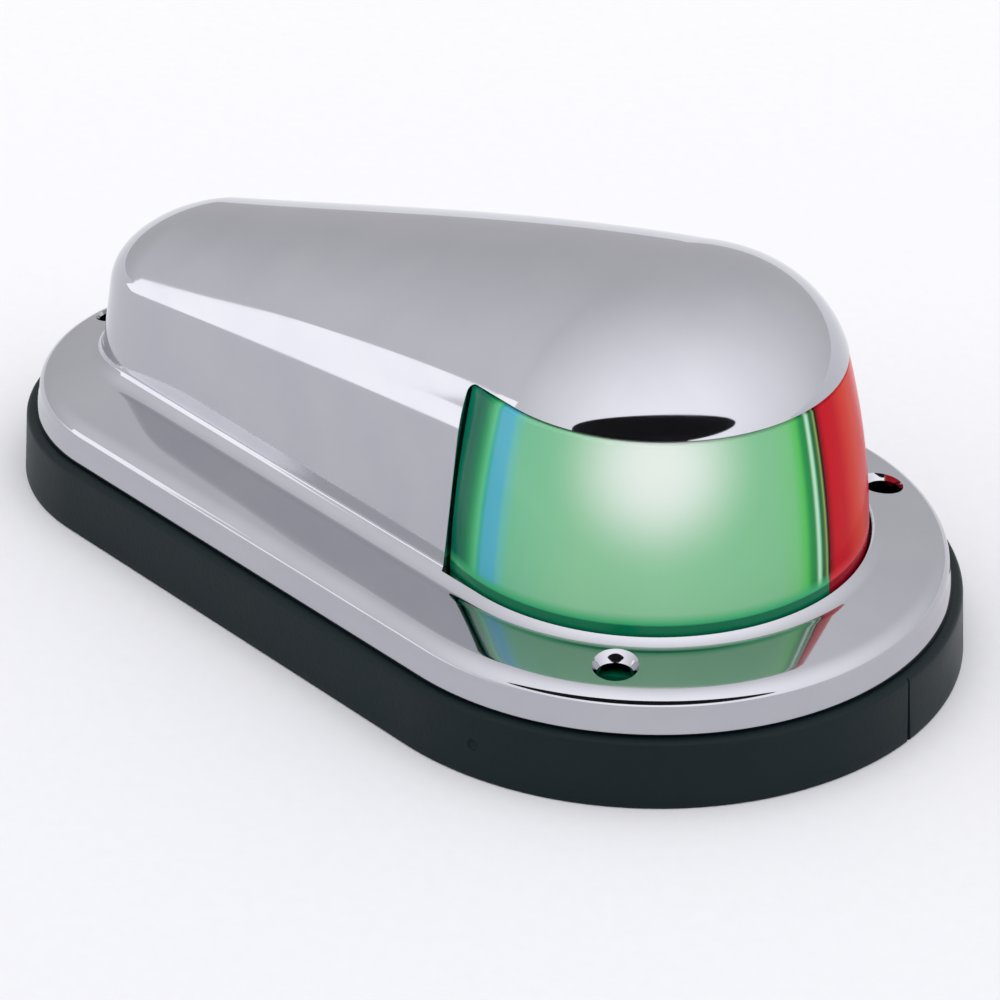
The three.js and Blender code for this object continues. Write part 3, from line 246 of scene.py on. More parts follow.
@dataclass(frozen=True)
class ColouredLens(Finish):
    """Injection-moulded clear coloured plastic, polished, with painted light pooled in it.

    The body is painted pale and milky as if lit from within, with a painted patch of light near
    the top. The thick edges turn deep, and a painted line of light runs along the foot. Painted
    light and dark lines stand for the moulded flutes beside the seam and the after edge, and the
    bands also hold painted reflections. The colours follow the angle round the lens axis from the
    seam.
    """

    bands: tuple[tuple[float, str], ...]
    painted_glow: str
    rim: str
    painted_light_line: str
    full_angle: float = 118.0
    painted_glow_angle: float = 52.0
    painted_glow_spread: float = 34.0
    painted_glow_height_mm: float = 37.5
    painted_glow_reach_mm: float = 15.0
    rim_height_mm: float = 17.6
    flow_mm: float = 24.0
    transmission: float = 0.12
    gloss: float = 0.3
    surface: float = 0.12

    def inputs(self, tree: Tree, where: Socket) -> Inputs:
        """Adds the lens's colour and faint flow lines for its gloss.

        Args:
            tree: the material's node tree.
            where: Object coordinates, in metres.

        Returns:
            The shader's sockets, as values or links.
        """
        wide = {"Vector": where, "Scale": grain(self.flow_mm), "Detail": 1.0}
        flow = add_node(tree, NOISE, wide).outputs["Fac"]
        gloss = {"Value": flow, "To Min": 0.22, "To Max": 0.26, **MIDDLE}
        swell = {"Height": flow, "Distance": 0.02 * MM, "Strength": 1.0}
        return {
            "Base Color": self.colour(tree, where),
            "Roughness": add_node(tree, RANGE, gloss).outputs["Result"],
            "IOR": 1.33,
            "Transmission Weight": self.transmission,
            "Specular IOR Level": self.surface,
            "Coat Weight": self.gloss,
            "Coat IOR": 1.4,
            "Coat Roughness": 0.02,
            "Coat Normal": add_node(tree, BUMP, swell).outputs["Normal"],
        }

    def colour(self, tree: Tree, where: Socket) -> Socket:
        """Adds angle bands, a painted patch and line of light, and a deep rim at the foot.

        Args:
            tree: the material's node tree.
            where: Object coordinates, in metres.

        Returns:
            The colour.
        """
        shift = {"Vector": where, "Location": (-LENS_X * MM, 0, 0)}
        centred = add_node(tree, "ShaderNodeMapping", shift).outputs["Vector"]
        split = add_node(tree, "ShaderNodeSeparateXYZ", {"Vector": centred}).outputs
        aside = add_node(tree, MATHS, {0: split["Y"]}, operation="ABSOLUTE").outputs[0]
        angle = add_node(tree, MATHS, {0: aside, 1: split["X"]}, operation="ARCTAN2").outputs[0]
        share = {"Value": angle, "From Min": 0.0, "From Max": math.radians(self.full_angle)}
        turn = add_node(tree, RANGE, share).outputs["Result"]
        # The bands hold painted reflections and highlights, and painted lines for the flutes.
        ramp = add_node(tree, "ShaderNodeValToRGB", {"Fac": turn})
        elements = ramp.color_ramp.elements
        for degrees, _ in self.bands[1:-1]:
            elements.new(degrees / self.full_angle)
        for element, (degrees, code) in zip(elements, self.bands):
            element.position = degrees / self.full_angle
            element.color = linear(code)

        # A painted patch of light: an oval by angle and height, mixed towards the pale colour.
        wide, tall = 1 / math.radians(self.painted_glow_spread), 1 / (self.painted_glow_reach_mm * MM)
        middle = (-math.radians(self.painted_glow_angle) * wide, -self.painted_glow_height_mm * MM * tall, 0)
        place = add_node(tree, "ShaderNodeCombineXYZ", {"X": angle, "Y": split["Z"]}).outputs[0]
        oval = {"Vector": place, "Location": middle, "Scale": (wide, tall, 1)}
        spot = add_node(tree, "ShaderNodeMapping", oval).outputs["Vector"]
        away = add_node(tree, "ShaderNodeVectorMath", {0: spot}, operation="LENGTH")
        fade = {"Value": away.outputs["Value"], "From Min": 1.0, "From Max": 0.0, "To Max": 0.85}
        near = add_node(tree, RANGE, fade, interpolation_type="SMOOTHERSTEP").outputs["Result"]
        painted_glow_mix = {0: near, 6: ramp.outputs["Color"], 7: linear(self.painted_glow)}
        lit = add_node(tree, MIX, painted_glow_mix, data_type="RGBA").outputs[2]

        # A painted line of light just above the foot, and a deep band at the foot itself.
        foot = self.rim_height_mm
        line = {"From Min": (foot + 0.32) * MM, "From Max": (foot + 1.6) * MM}
        deep = {"From Min": foot * MM, "From Max": (foot + 0.25) * MM}
        falling = {"Value": split["Z"], "To Min": 1.0, "To Max": 0.0}
        pale = add_node(tree, RANGE, {**falling, **line}).outputs["Result"]
        edge = {0: pale, 6: lit, 7: linear(self.painted_light_line)}
        edged = add_node(tree, MIX, edge, data_type="RGBA").outputs[2]
        low = add_node(tree, RANGE, {**falling, **deep}).outputs["Result"]
        whole = {0: low, 6: edged, 7: linear(self.rim)}
        return add_node(tree, MIX, whole, data_type="RGBA").outputs[2]


# Degrees from the seam, and the colour there: painted light and dark lines for the flutes by
# the seam, the pale body painted as if lit from within, a painted blue reflection in a strip,
# painted lines for the flutes by the after edge, and the thick dark edge itself.
GREEN_BANDS = (
    (0.0, "#122E1B"),
    (0.5, "#35552A"),
    (1.0, "#A0B054"),
    (1.5, "#1E6A34"),
    (2.7, "#0E5A2C"),
    (3.3, "#6FC08A"),
    (3.9, "#CDEAD5"),
    (4.5, "#A6D8B4"),
    (5.2, "#17823C"),
    (7.0, "#179045"),
    (8.8, "#51BE57"),
    (12.0, "#74C27F"),
    (18.0, "#7FC28F"),
    (50.0, "#90CC9F"),
    (72.0, "#8DCA9C"),
    (92.0, "#76C296"),
    (95.5, "#66BEB3"),
    (97.0, "#53B3C8"),
    (101.5, "#4FAFC1"),
    (102.6, "#2EAB9D"),
    (104.0, "#56C183"),
    (106.5, "#289A5E"),
    (108.5, "#027A50"),
    (112.0, "#00624A"),
    (118.0, "#04795C"),
)
# The same for the red half: a painted orange highlight for a faint flute near the seam, and a
# painted bright strip of highlight near the after edge.
RED_BANDS = (
    (0.0, "#3B060A"),
    (1.0, "#910616"),
    (3.0, "#C20A1C"),
    (9.0, "#C0071A"),
    (14.0, "#CA281A"),
    (21.0, "#CC3924"),
    (28.0, "#C40C1C"),
    (70.0, "#CC0D21"),
    (95.0, "#B8091A"),
    (104.0, "#E13933"),
    (108.5, "#910616"),
    (118.0, "#60040F"),
)


@dataclass(frozen=True)
class BareMetal(Finish):
    """A metal as rolled, drawn or plated: its own colour, uneven gloss and fine tooling lines."""

    bright: str
    dull: str
    roughness: float
    spread: float = 0.12
    tarnish_mm: float = 5.0
    line_mm: float = 0.4
    line_stretch: float = 0.12
    depth_mm: float = 0.01

    def inputs(self, tree: Tree, where: Socket) -> Inputs:
        """Adds tarnish patches for colour and roughness, and fine lines along X for the normal.

        Args:
            tree: the material's node tree.
            where: Object coordinates, in metres.

        Returns:
            The shader's sockets, as values or links.
        """
        cloudy = {"Vector": where, "Scale": grain(self.tarnish_mm), "Detail": 4.0}
        tarnish = add_node(tree, NOISE, cloudy).outputs["Fac"]
        drawn = {"Vector": where, "Scale": (self.line_stretch, 1.0, 1.0)}
        along = add_node(tree, "ShaderNodeMapping", drawn).outputs["Vector"]
        fine = {"Vector": along, "Scale": grain(self.line_mm), "Detail": 2.0}
        lines = add_node(tree, NOISE, fine).outputs["Fac"]
        tones = {0: tarnish, 6: linear(self.bright), 7: linear(self.dull)}
        dullest = self.roughness + self.spread
        gloss = {"Value": tarnish, "To Min": self.roughness, "To Max": dullest, **MIDDLE}
        scratches = {"Height": lines, "Distance": self.depth_mm * MM, "Strength": 1.0}
        return {
            "Base Color": add_node(tree, MIX, tones, data_type="RGBA").outputs[2],
            "Metallic": 1.0,
            "Roughness": add_node(tree, RANGE, gloss).outputs["Result"],
            "Normal": add_node(tree, BUMP, scratches).outputs["Normal"],
        }


@dataclass(frozen=True)
class MouldedPlastic(Finish):
    """Moulded or pressed plastic: even colour, faint flow marks, and a spark-eroded grain."""

    base: str
    mark: str
    roughness: float
    grain_mm: float = 0.35
    depth_mm: float = 0.02
    spread: float = 0.1
    mark_mm: float = 6.0

    def inputs(self, tree: Tree, where: Socket) -> Inputs:
        """Adds flow marks for the colour, and grain for the normal and roughness.

        Args:
            tree: the material's node tree.
            where: Object coordinates, in metres.

        Returns:
            The shader's sockets, as values or links.
        """
        flowing = {"Vector": where, "Scale": grain(self.mark_mm), "Detail": 3.0}
        marks = add_node(tree, NOISE, flowing).outputs["Fac"]
        fine = {"Vector": where, "Scale": grain(self.grain_mm), "Detail": 2.0}
        skin = add_node(tree, NOISE, fine).outputs["Fac"]
        tones = {0: marks, 6: linear(self.base), 7: linear(self.mark)}
        dullest = self.roughness + self.spread
        gloss = {"Value": skin, "To Min": self.roughness, "To Max": dullest, **MIDDLE}
        bumps = {"Height": skin, "Distance": self.depth_mm * MM, "Strength": 1.0}
        return {
            "Base Color": add_node(tree, MIX, tones, data_type="RGBA").outputs[2],
            "Roughness": add_node(tree, RANGE, gloss).outputs["Result"],
            "IOR": 1.5,
            "Normal": add_node(tree, BUMP, bumps).outputs["Normal"],
        }


@dataclass(frozen=True)
class BlownGlass(Finish):
    """Thin blown glass: clear, with the slow ripple of the blow mould."""

    name: str = "blown_clear_glass"
    ripple_mm: float = 5.0
    depth_mm: float = 0.01

    def inputs(self, tree: Tree, where: Socket) -> Inputs:
        """Adds a ripple for the normal and a trace of haze.

        Args:
            tree: the material's node tree.
            where: Object coordinates, in metres.

        Returns:
            The shader's sockets, as values or links.
        """
        slow = {"Vector": where, "Scale": grain(self.ripple_mm), "Detail": 1.0}
        ripple = add_node(tree, NOISE, slow).outputs["Fac"]
        tones = {0: ripple, 6: linear("#F6FAFA"), 7: linear("#EDF4F3")}
        gloss = {"Value": ripple, "To Min": 0.0, "To Max": 0.02, **MIDDLE}
        swell = {"Height": ripple, "Distance": self.depth_mm * MM, "Strength": 1.0}
        return {
            "Base Color": add_node(tree, MIX, tones, data_type="RGBA").outputs[2],
            "Roughness": add_node(tree, RANGE, gloss).outputs["Result"],
            "IOR": 1.5,
            "Transmission Weight": 1.0,
            "Normal": add_node(tree, BUMP, swell).outputs["Normal"],
        }


@dataclass(frozen=True)
class StudioSheet(Finish):
    """A sheet of the studio: matt paper, velvet or a lit diffuser, mottled by its fibres."""

    base: str
    mark: str
    fibre_mm: float
    roughness: float = 1.0
    surface: float = 0.0
    light: float = 0.0

    def inputs(self, tree: Tree, where: Socket) -> Inputs:
        """Adds the fibres' mottling, as the sheet's colour or, when it is lit, as its light.

        Args:
            tree: the material's node tree.
            where: Object coordinates, in metres.

        Returns:
            The shader's sockets, as values or links.
        """
        fine = {"Vector": where, "Scale": grain(self.fibre_mm), "Detail": 2.0}
        fibres = add_node(tree, NOISE, fine).outputs["Fac"]
        tones = {0: fibres, 6: linear(self.base), 7: linear(self.mark)}
        colour = add_node(tree, MIX, tones, data_type="RGBA").outputs[2]
        sheet = {"Roughness": self.roughness, "Specular IOR Level": self.surface}
        if self.light:
            lit = {"Emission Color": colour, "Emission Strength": self.light}
            return {**sheet, **lit, "Base Color": linear("#000000")}
        return {**sheet, "Base Color": colour}


class Slot(Enum):
    """The record's material slots, each with the finish that it gets."""

    CHROME = "chrome"
    RUBBER = "rubber"
    GREEN_LENS = "green_lens"
    RED_LENS = "red_lens"
    BLACK_PLASTIC = "black_plastic"
    FOAM = "foam"
    ZINC_STEEL = "zinc_steel"
    BRASS = "brass"
    PHENOLIC = "phenolic"
    GLASS = "glass"
    TUNGSTEN = "tungsten"
    SOLDER = "solder"
    LEAD_RED = "lead_red"
    LEAD_BLACK = "lead_black"


FINISHES: dict[Slot, Finish] = {
    Slot.CHROME: PlatedChrome(),
    Slot.RUBBER: MouldedRubber("compression_moulded_black_rubber"),
    # Acrylic from a polished mould: painted pale and milky in the middle, deep at its thick foot,
    # with a painted patch of light and a painted line of light along the foot.
    Slot.GREEN_LENS: ColouredLens(
        "moulded_green_acrylic", GREEN_BANDS, "#F6FAF4", "#06704C", "#3FB274"
    ),
    # Red acrylic, with its painted patch of light in pale orange and its painted line of light.
    Slot.RED_LENS: ColouredLens(
        "moulded_red_acrylic", RED_BANDS, "#F4A08E", "#8E0A1E", "#D63A40", gloss=0.1, surface=0.02
    ),
    # Nylon from a grained mould: nearly black, with a low even sheen.
    Slot.BLACK_PLASTIC: MouldedPlastic("moulded_black_nylon", "#18191B", "#202225", 0.42),
    # Foam cut from a sheet: dull and pitted, its pits drawn coarser than the real ones to show.
    Slot.FOAM: MouldedPlastic("closed_cell_foam", "#343436", "#2A2A2C", 0.85, 0.8, 0.12),
    # Zinc plate on pressed steel: a cool grey, half bright, with the sheet's rolling lines.
    Slot.ZINC_STEEL: BareMetal("zinc_plated_steel", "#C3C7CC", "#A9AEB4", 0.28),
    # Brass drawn into tube: warm, bright, browned in patches.
    Slot.BRASS: BareMetal("drawn_brass", "#D6B36A", "#B48F4A", 0.22),
    # Paper and resin pressed into board: brown, with the paper's mottling.
    Slot.PHENOLIC: MouldedPlastic("pressed_phenolic_board", "#5E3621", "#492818", 0.5, 0.6, 0.03),
    Slot.GLASS: BlownGlass(),
    # Wire drawn through dies: a dark grey metal, dull.
    Slot.TUNGSTEN: BareMetal("drawn_tungsten_wire", "#77777B", "#5E5E63", 0.35),
    # Copper dipped in tin: soft silver with dull patches.
    Slot.SOLDER: BareMetal("tinned_copper", "#B9BBC0", "#8F9196", 0.32),
    # Vinyl drawn over wire: smooth, with a soft gloss.
    Slot.LEAD_RED: MouldedPlastic("extruded_red_pvc", "#B0201F", "#981A1A", 0.38),
    Slot.LEAD_BLACK: MouldedPlastic("extruded_black_pvc", "#141416", "#1E1E21", 0.38),
}
PAPER = StudioSheet("matt_white_paper", "#EAEAEC", "#E6E6E8", 2.0, roughness=0.9)
VELVET = StudioSheet("black_velvet", "#060607", "#0B0B0C", 1.0, surface=0.5)
DIFFUSER = StudioSheet("lit_white_diffuser", "#FCFCFD", "#F7F8FA", 3.0, light=1.95)


class Palette:
    """Builds each finish once and hands it to the pieces of its slot."""

    def __init__(self) -> None:
        """Starts with no material built."""
        self._built: dict[Slot, bpy.types.Material] = {}

    def dress(self, piece: bpy.types.Object, slot: Slot) -> None:
        """Gives every face of a piece the material of a slot, which is built on first use.

        Args:
            piece: the piece or node.
            slot: its material slot.
        """
        if slot not in self._built:
            self._built[slot] = FINISHES[slot].build()
        piece.data.materials.clear()
        piece.data.materials.append(self._built[slot])

    def fit(self, piece: bpy.types.Object, slot: Slot, body: str, node: str) -> bpy.types.Object:
        """Dresses a new piece, puts it on its body and lets it stand for its node.

        Args:
            piece: the piece.
            slot: its material slot.
            body: the body that it moves with.
            node: the node that it stands for.

        Returns:
            The piece.
        """
        self.dress(piece, slot)
        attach(piece, body)
        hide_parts(node)
        count = len(piece.data.polygons)
        LOG.info("built %s for %s on %s, %d faces", piece.name, node, body, count)
        return piece


# ---------------------------------------------------------------- mesh helpers
def ring_faces(rows: int, columns: int) -> np.ndarray:
    """Quads between neighbouring rows of a grid whose columns close on themselves.

    Args:
        rows: number of rows.
        columns: number of columns in each row.

    Returns:
        An array of quads, facing out when rows rise and columns run anticlockwise.
    """
    row, column = np.meshgrid(np.arange(rows - 1), np.arange(columns), indexing="ij")
    following = (column + 1) % columns
    corners = [row * columns + column, row * columns + following]
    corners += [(row + 1) * columns + following, (row + 1) * columns + column]
    return np.stack(corners, -1).reshape(-1, 4)


def mesh_object(
    name: str, vertices: np.ndarray, faces: list, crease_degrees: float = 30.0
) -> bpy.types.Object:
    """Makes an object from vertices in millimetres, with smooth shading broken at sharp edges.

    Args:
        name: the object's name.
        vertices: an (n, 3) array in millimetres.
        faces: lists of vertex numbers.
        crease_degrees: edges sharper than this stay sharp.

    Returns:
        The object, linked to the scene.
    """
    mesh = bpy.data.meshes.new(name)
    mesh.from_pydata((np.asarray(vertices) * MM).tolist(), [], faces)
    piece = bpy.data.objects.new(name, mesh)
    bpy.context.scene.collection.objects.link(piece)
    weld(piece)
    shade(piece, crease_degrees)
    return piece


def weld(piece: bpy.types.Object, gap_mm: float = 0.0005) -> None:
    """Merges vertices that lie together and drops the faces and edges that this empties.

    Args:
        piece: the object.
        gap_mm: vertices nearer than this are merged.
    """
    work = bmesh.new()
    work.from_mesh(piece.data)
    bmesh.ops.remove_doubles(work, verts=work.verts, dist=gap_mm * MM)
    bmesh.ops.dissolve_degenerate(work, edges=work.edges, dist=gap_mm * MM)
    bare = [edge for edge in work.edges if not edge.link_faces]
    bmesh.ops.delete(work, geom=bare, context="EDGES")
    work.to_mesh(piece.data)
    work.free()


def shade(piece: bpy.types.Object, crease_degrees: float) -> None:
    """Shades a mesh smooth, except across edges sharper than an angle."""
    piece.data.shade_smooth()
    piece.data.set_sharp_from_angle(angle=math.radians(crease_degrees))


def loft(name: str, rings: np.ndarray, crease_degrees: float = 30.0) -> bpy.types.Object:
    """Makes a closed body through rings of points, with a flat face over the first and last.

    Args:
        name: the object's name.
        rings: (rows, columns, 3) in millimetres, rising, anticlockwise from above.
        crease_degrees: edges sharper than this stay sharp.

    Returns:
        The object.
    """
    rows, columns = rings.shape[:2]
    faces = ring_faces(rows, columns).tolist()
    faces.append(list(range(columns - 1, -1, -1)))
    faces.append(list(range((rows - 1) * columns, rows * columns)))
    return mesh_object(name, rings.reshape(-1, 3), faces, crease_degrees)


def turned(
    name: str,
    profile: list[tuple[float, float]] | np.ndarray,
    segments: int = 96,
    lay: Matrix | None = None,
    crease_degrees: float = 30.0,
) -> bpy.types.Object:
    """Makes a body of revolution: each profile point sweeps a circle about the upright axis.

    Args:
        name: the object's name.
        profile: a closed loop of (radius, height), rising on the outside.
        segments: steps round the axis.
        lay: turns and moves the body from the upright axis to its place, in millimetres.
        crease_degrees: edges sharper than this stay sharp.

    Returns:
        The object.
    """
    loop = np.asarray(profile, float)
    loop = np.concatenate([loop, loop[:1]])
    angle = np.linspace(0, 2 * np.pi, segments, endpoint=False)
    x = loop[:, :1] * np.cos(angle)
    y = loop[:, :1] * np.sin(angle)
    z = np.repeat(loop[:, 1:], segments, axis=1)
    points = np.stack([x, y, z], -1).reshape(-1, 3)
    if lay is not None:
        turn = np.array(lay)
        points = points @ turn[:3, :3].T + turn[:3, 3]
    return mesh_object(name, points, ring_faces(len(loop), segments).tolist(), crease_degrees)


def prism(
    name: str, outline: list[tuple[float, float]], ys: tuple[float, float]
) -> bpy.types.Object:
    """Makes a prism across Y.

    Args:
        name: the object's name.
        outline: (x, z) corners, anticlockwise seen from -Y.
        ys: the y of its two ends, the lower first.

    Returns:
        The object.
    """
    corners = np.array(outline)
    count = len(corners)
    ends = [np.stack([corners[:, 0], np.full(count, y), corners[:, 1]], -1) for y in ys]
    faces = [list(range(count)), list(range(2 * count - 1, count - 1, -1))]
    faces += [[i, i + count, (i + 1) % count + count, (i + 1) % count] for i in range(count)]
    return mesh_object(name, np.concatenate(ends), faces)


def carve(piece: bpy.types.Object, tool: bpy.types.Object, how: str = "DIFFERENCE") -> None:
    """Cuts, joins or intersects a piece with a tool body, and drops the tool.

    Args:
        piece: the closed body that is changed.
        tool: the closed body that is used up.
        how: DIFFERENCE, UNION or INTERSECT.
    """
    modifier = piece.modifiers.new("carve", "BOOLEAN")
    modifier.operation = how
    modifier.object = tool
    modifier.solver = "MANIFOLD"
    depsgraph = bpy.context.evaluated_depsgraph_get()
    result = bpy.data.meshes.new_from_object(piece.evaluated_get(depsgraph))
    piece.modifiers.clear()
    piece.data = result
    bpy.data.objects.remove(tool, do_unlink=True)


# ---------------------------------------------------------------- teardrop outline
@dataclass(frozen=True)
class Teardrop:
    """An outline of two arcs joined by their tangents, the wide one at the bow."""

    tail_x: float
    bow_x: float
    tail_radius: float
    bow_radius: float

    @property
    def length(self) -> float:
        """Distance between the two arc centres."""
        return self.bow_x - self.tail_x

    @property
    def taper(self) -> float:
        """Angle of each side to the centre line, in radians."""
        return math.asin((self.bow_radius - self.tail_radius) / self.length)

    def columns(self, bow: int, side: int, tail: int) -> tuple[np.ndarray, ...]:
        """Places columns round the outline, anticlockwise from the bow tip.

        The direction angle runs over the bow arc, holds along the side while the station falls from
        1 to 0, and runs over the tail arc; the other side mirrors it.

        Args:
            bow: steps on half of the bow arc.
            side: steps along one side.
            tail: steps on half of the tail arc.

        Returns:
            Station (0 at the tail's centre, 1 at the bow's), x and y direction of each column.
        """
        shoulder = math.pi / 2 + self.taper
        angle = np.concatenate(
            [
                np.linspace(0, shoulder, bow, endpoint=False),
                np.full(side, shoulder),
                np.linspace(shoulder, math.pi, tail + 1),
            ]
        )
        falling = np.linspace(1, 0, side, endpoint=False)
        station = np.concatenate([np.ones(bow), falling, np.zeros(tail + 1)])
        angle = np.concatenate([angle, -angle[-2:0:-1]])
        station = np.concatenate([station, station[-2:0:-1]])
        return station, np.cos(angle), np.sin(angle)

    def radius(self, station: np.ndarray) -> np.ndarray:
        """Outline radius at a station: the tail's and the bow's, blended in proportion."""
        return self.tail_radius + (self.bow_radius - self.tail_radius) * station

    def centre(self, station: np.ndarray) -> np.ndarray:
        """Arc centre's x at a station."""
        return self.tail_x + self.length * station

    def inset(
        self, columns: tuple[np.ndarray, ...], inset: float | np.ndarray, z: float | np.ndarray
    ) -> np.ndarray:
        """A ring at a distance inside the outline.

        Args:
            columns: what columns() gives.
            inset: distance inside the outline.
            z: height.

        Returns:
            A (columns, 3) ring: arc centre plus radius minus inset, along each column's direction.
        """
        station, across_x, across_y = columns
        reach = self.radius(station) - inset
        height = np.broadcast_to(z, station.shape)
        return np.stack([self.centre(station) + reach * across_x, reach * across_y, height], -1)


# ---------------------------------------------------------------- driving sizes of the outside
PAD = Teardrop(tail_x=-40.35, bow_x=LENS_X, tail_radius=28.4, bow_radius=40.0)
DOME = Teardrop(tail_x=-44.3, bow_x=LENS_X, tail_radius=14.6, bow_radius=27.6)
PAD_HEIGHT = 8.9
SKIRT_BOTTOM = 9.1
RIDGE_Z = 14.5
PLATEAU_Z = 15.4
FOOT_Z = 15.9
SILL_Z = 16.4
BRIM_Z = 40.8
WINDOW_BACK = 12.0
WINDOW_LEAN = 0.012
MOUNT_PLACES = ((-61.95, 0.0), (44.93, 28.02), (44.93, -28.02))
MOUNT_HOLE_RADIUS = 2.25
BULB_Z = 27.9
BOW_STEPS, SIDE_STEPS, TAIL_STEPS = 90, 60, 44
FAR = 90.0  # beyond every side of the light, for the ends of cutting bodies


@dataclass
class Cover:
    """The chrome cover: flange, fillet and dome in one casting, with its window and screw holes."""

    palette: Palette
    wall: float = 2.0
    skirt_inset: float = 1.8
    skirt_draft: float = 0.6
    ridge_radius: float = 2.3
    foot_fillet: float = 2.2
    draft: float = 0.142
    wall_rise: tuple[float, float] = (11.5, 18.6)
    crown_rise: tuple[float, float] = (20.7, 36.3)
    crown_swell: float = 0.32
    crown_shift: float = 0.18
    fullness: float = 2.4
    skirt_edge: float = 0.35
    ridge_turn: float = 0.93
    window_round: float = 1.3
    rim_radius: float = 2.75
    well_radius: float = 27.75
    underside: float = RIDGE_Z - 1.2
    columns: tuple[np.ndarray, ...] = field(
        default_factory=lambda: DOME.columns(BOW_STEPS, SIDE_STEPS, TAIL_STEPS)
    )

    def wall_top(self) -> np.ndarray:
        """Gives the height where the wall ends, linear in x between its tail and bow values.

        Returns:
            The height in each column.
        """
        station, across_x, _ = self.columns
        x = DOME.centre(station) + DOME.radius(station) * across_x
        share = (x - DOME.tail_x) / DOME.length
        return FOOT_Z + self.wall_rise[0] + (self.wall_rise[1] - self.wall_rise[0]) * share

    def crown(self, x: np.ndarray) -> np.ndarray:
        """Gives the crown's height: t + t(1 - t)(swell - shift(1 - 2t)) blends tail into bow.

        Args:
            x: places along the centre line; t is their share of the way from tail to bow.

        Returns:
            The crown's height at each.
        """
        t = (x - DOME.tail_x) / DOME.length
        share = t + t * (1 - t) * (self.crown_swell - self.crown_shift * (1 - 2 * t))
        return FOOT_Z + self.crown_rise[0] + (self.crown_rise[1] - self.crown_rise[0]) * share

    def wall_radius(self, z: np.ndarray) -> np.ndarray:
        """Wall radius in each column: the outline's, less the draft for each mm above the foot."""
        return DOME.radius(self.columns[0]) - (z - FOOT_Z) * self.draft

    def dome_ring(self, reach: np.ndarray, z: np.ndarray) -> np.ndarray:
        """A ring at a reach from each column's arc centre, and at a height."""
        station, across_x, across_y = self.columns
        return np.stack([DOME.centre(station) + reach * across_x, reach * across_y, z], -1)

    def dome_rings(
        self, first_z: float, thickness: float, wall_rows: int, crown_rows: int
    ) -> np.ndarray:
        """Gives the rings of the dome from first_z to the crown line.

        The wall leans in by the draft. Above it each column follows a superellipse, out = cos to
        the power 2/n and up = sin to the power 2/n, sheared by the draft so that it leaves the wall
        without a crease.

        Args:
            first_z: height of the first ring.
            thickness: distance inside the outer skin.
            wall_rows: rings on the wall.
            crown_rows: rings on the crown.

        Returns:
            (rows, columns, 3) rings.
        """
        station = self.columns[0]
        top = self.wall_top()
        rings = []
        for share in np.linspace(0, 1, wall_rows):
            z = first_z + (top - first_z) * share
            rings.append(self.dome_ring(self.wall_radius(z) - thickness, z))
        for angle in np.linspace(0, math.pi / 2, crown_rows)[1:]:
            out = max(math.cos(angle), 0.0) ** (2 / self.fullness)
            up = math.sin(angle) ** (2 / self.fullness)
            lean = self.draft * up * (self.crown(DOME.centre(station)) - top)
            reach = (self.wall_radius(top) - lean - thickness) * out
            x = DOME.centre(station) + reach * self.columns[1]
            rings.append(self.dome_ring(reach, top + (self.crown(x) - thickness - top) * up))
        return np.array(rings)

    def flange_rings(self) -> np.ndarray:
        """Gives the rings of the flange, from the skirt's lower edge over the ridge to the fillet.

        The skirt's foot is a quarter round, the skirt leans in, the ridge is a quarter round, and
        straight rows blend its last ring into the fillet's first.

        Returns:
            (rows, columns, 3) rings, the fillet's last.
        """
        pad_columns = PAD.columns(BOW_STEPS, SIDE_STEPS, TAIL_STEPS)
        edge = self.skirt_edge
        rings = []
        for angle in np.linspace(-math.pi / 2, 0, 5):
            inset = self.skirt_inset + edge * (1 - math.cos(angle))
            rings.append(PAD.inset(pad_columns, inset, SKIRT_BOTTOM + edge * (1 + math.sin(angle))))
        start = self.skirt_inset + self.skirt_draft
        low, high = SKIRT_BOTTOM + edge, RIDGE_Z - self.ridge_radius
        for share in np.linspace(0, 1, 6)[1:]:
            inset = self.skirt_inset + self.skirt_draft * share
            rings.append(PAD.inset(pad_columns, inset, low + (high - low) * share))
        for angle in np.linspace(0, math.pi / 2 * self.ridge_turn, 12)[1:]:
            inset = start + self.ridge_radius * (1 - math.cos(angle))
            rings.append(PAD.inset(pad_columns, inset, high + self.ridge_radius * math.sin(angle)))
        ridge_end = rings[-1]
        fillet = self.fillet_rings()
        for share in np.linspace(0, 1, 16)[1:-1]:
            rings.append(ridge_end + (fillet[0] - ridge_end) * share)
        return np.concatenate([np.array(rings), fillet])

    def fillet_rings(self) -> np.ndarray:
        """Gives the rings of the hollow round at the dome's foot.

        It is an arc tangent to the plateau and to the leaning wall.

        Returns:
            (rows, columns, 3) rings.
        """
        slant = math.hypot(1, self.draft)
        centre_z = PLATEAU_Z + self.foot_fillet
        centre_r = self.wall_radius(centre_z) + self.foot_fillet * slant
        rings = []
        for angle in np.linspace(1.5 * math.pi, math.pi + math.atan(self.draft), 12):
            reach = centre_r + self.foot_fillet * math.cos(angle)
            height = np.full_like(reach, centre_z + self.foot_fillet * math.sin(angle))
            rings.append(self.dome_ring(reach, height))
        return np.array(rings)

    def window_tool(self) -> bpy.types.Object:
        """Makes the body that cuts the window: a prism across Y, with a leaning after edge.

        Returns:
            The prism, its after top corner rounded.
        """
        back_low = LENS_X - WINDOW_BACK
        back_high = back_low + (BRIM_Z - SILL_Z) * WINDOW_LEAN
        turn = np.linspace(math.pi / 2, math.pi, 9)
        corner_x = back_high + self.window_round * (1 + np.cos(turn))
        corner_z = BRIM_Z - self.window_round * (1 - np.sin(turn))
        outline = [(back_low, SILL_Z), (FAR, SILL_Z), (FAR, BRIM_Z), *zip(corner_x, corner_z)]
        return prism("window_tool", outline, (-FAR, FAR))

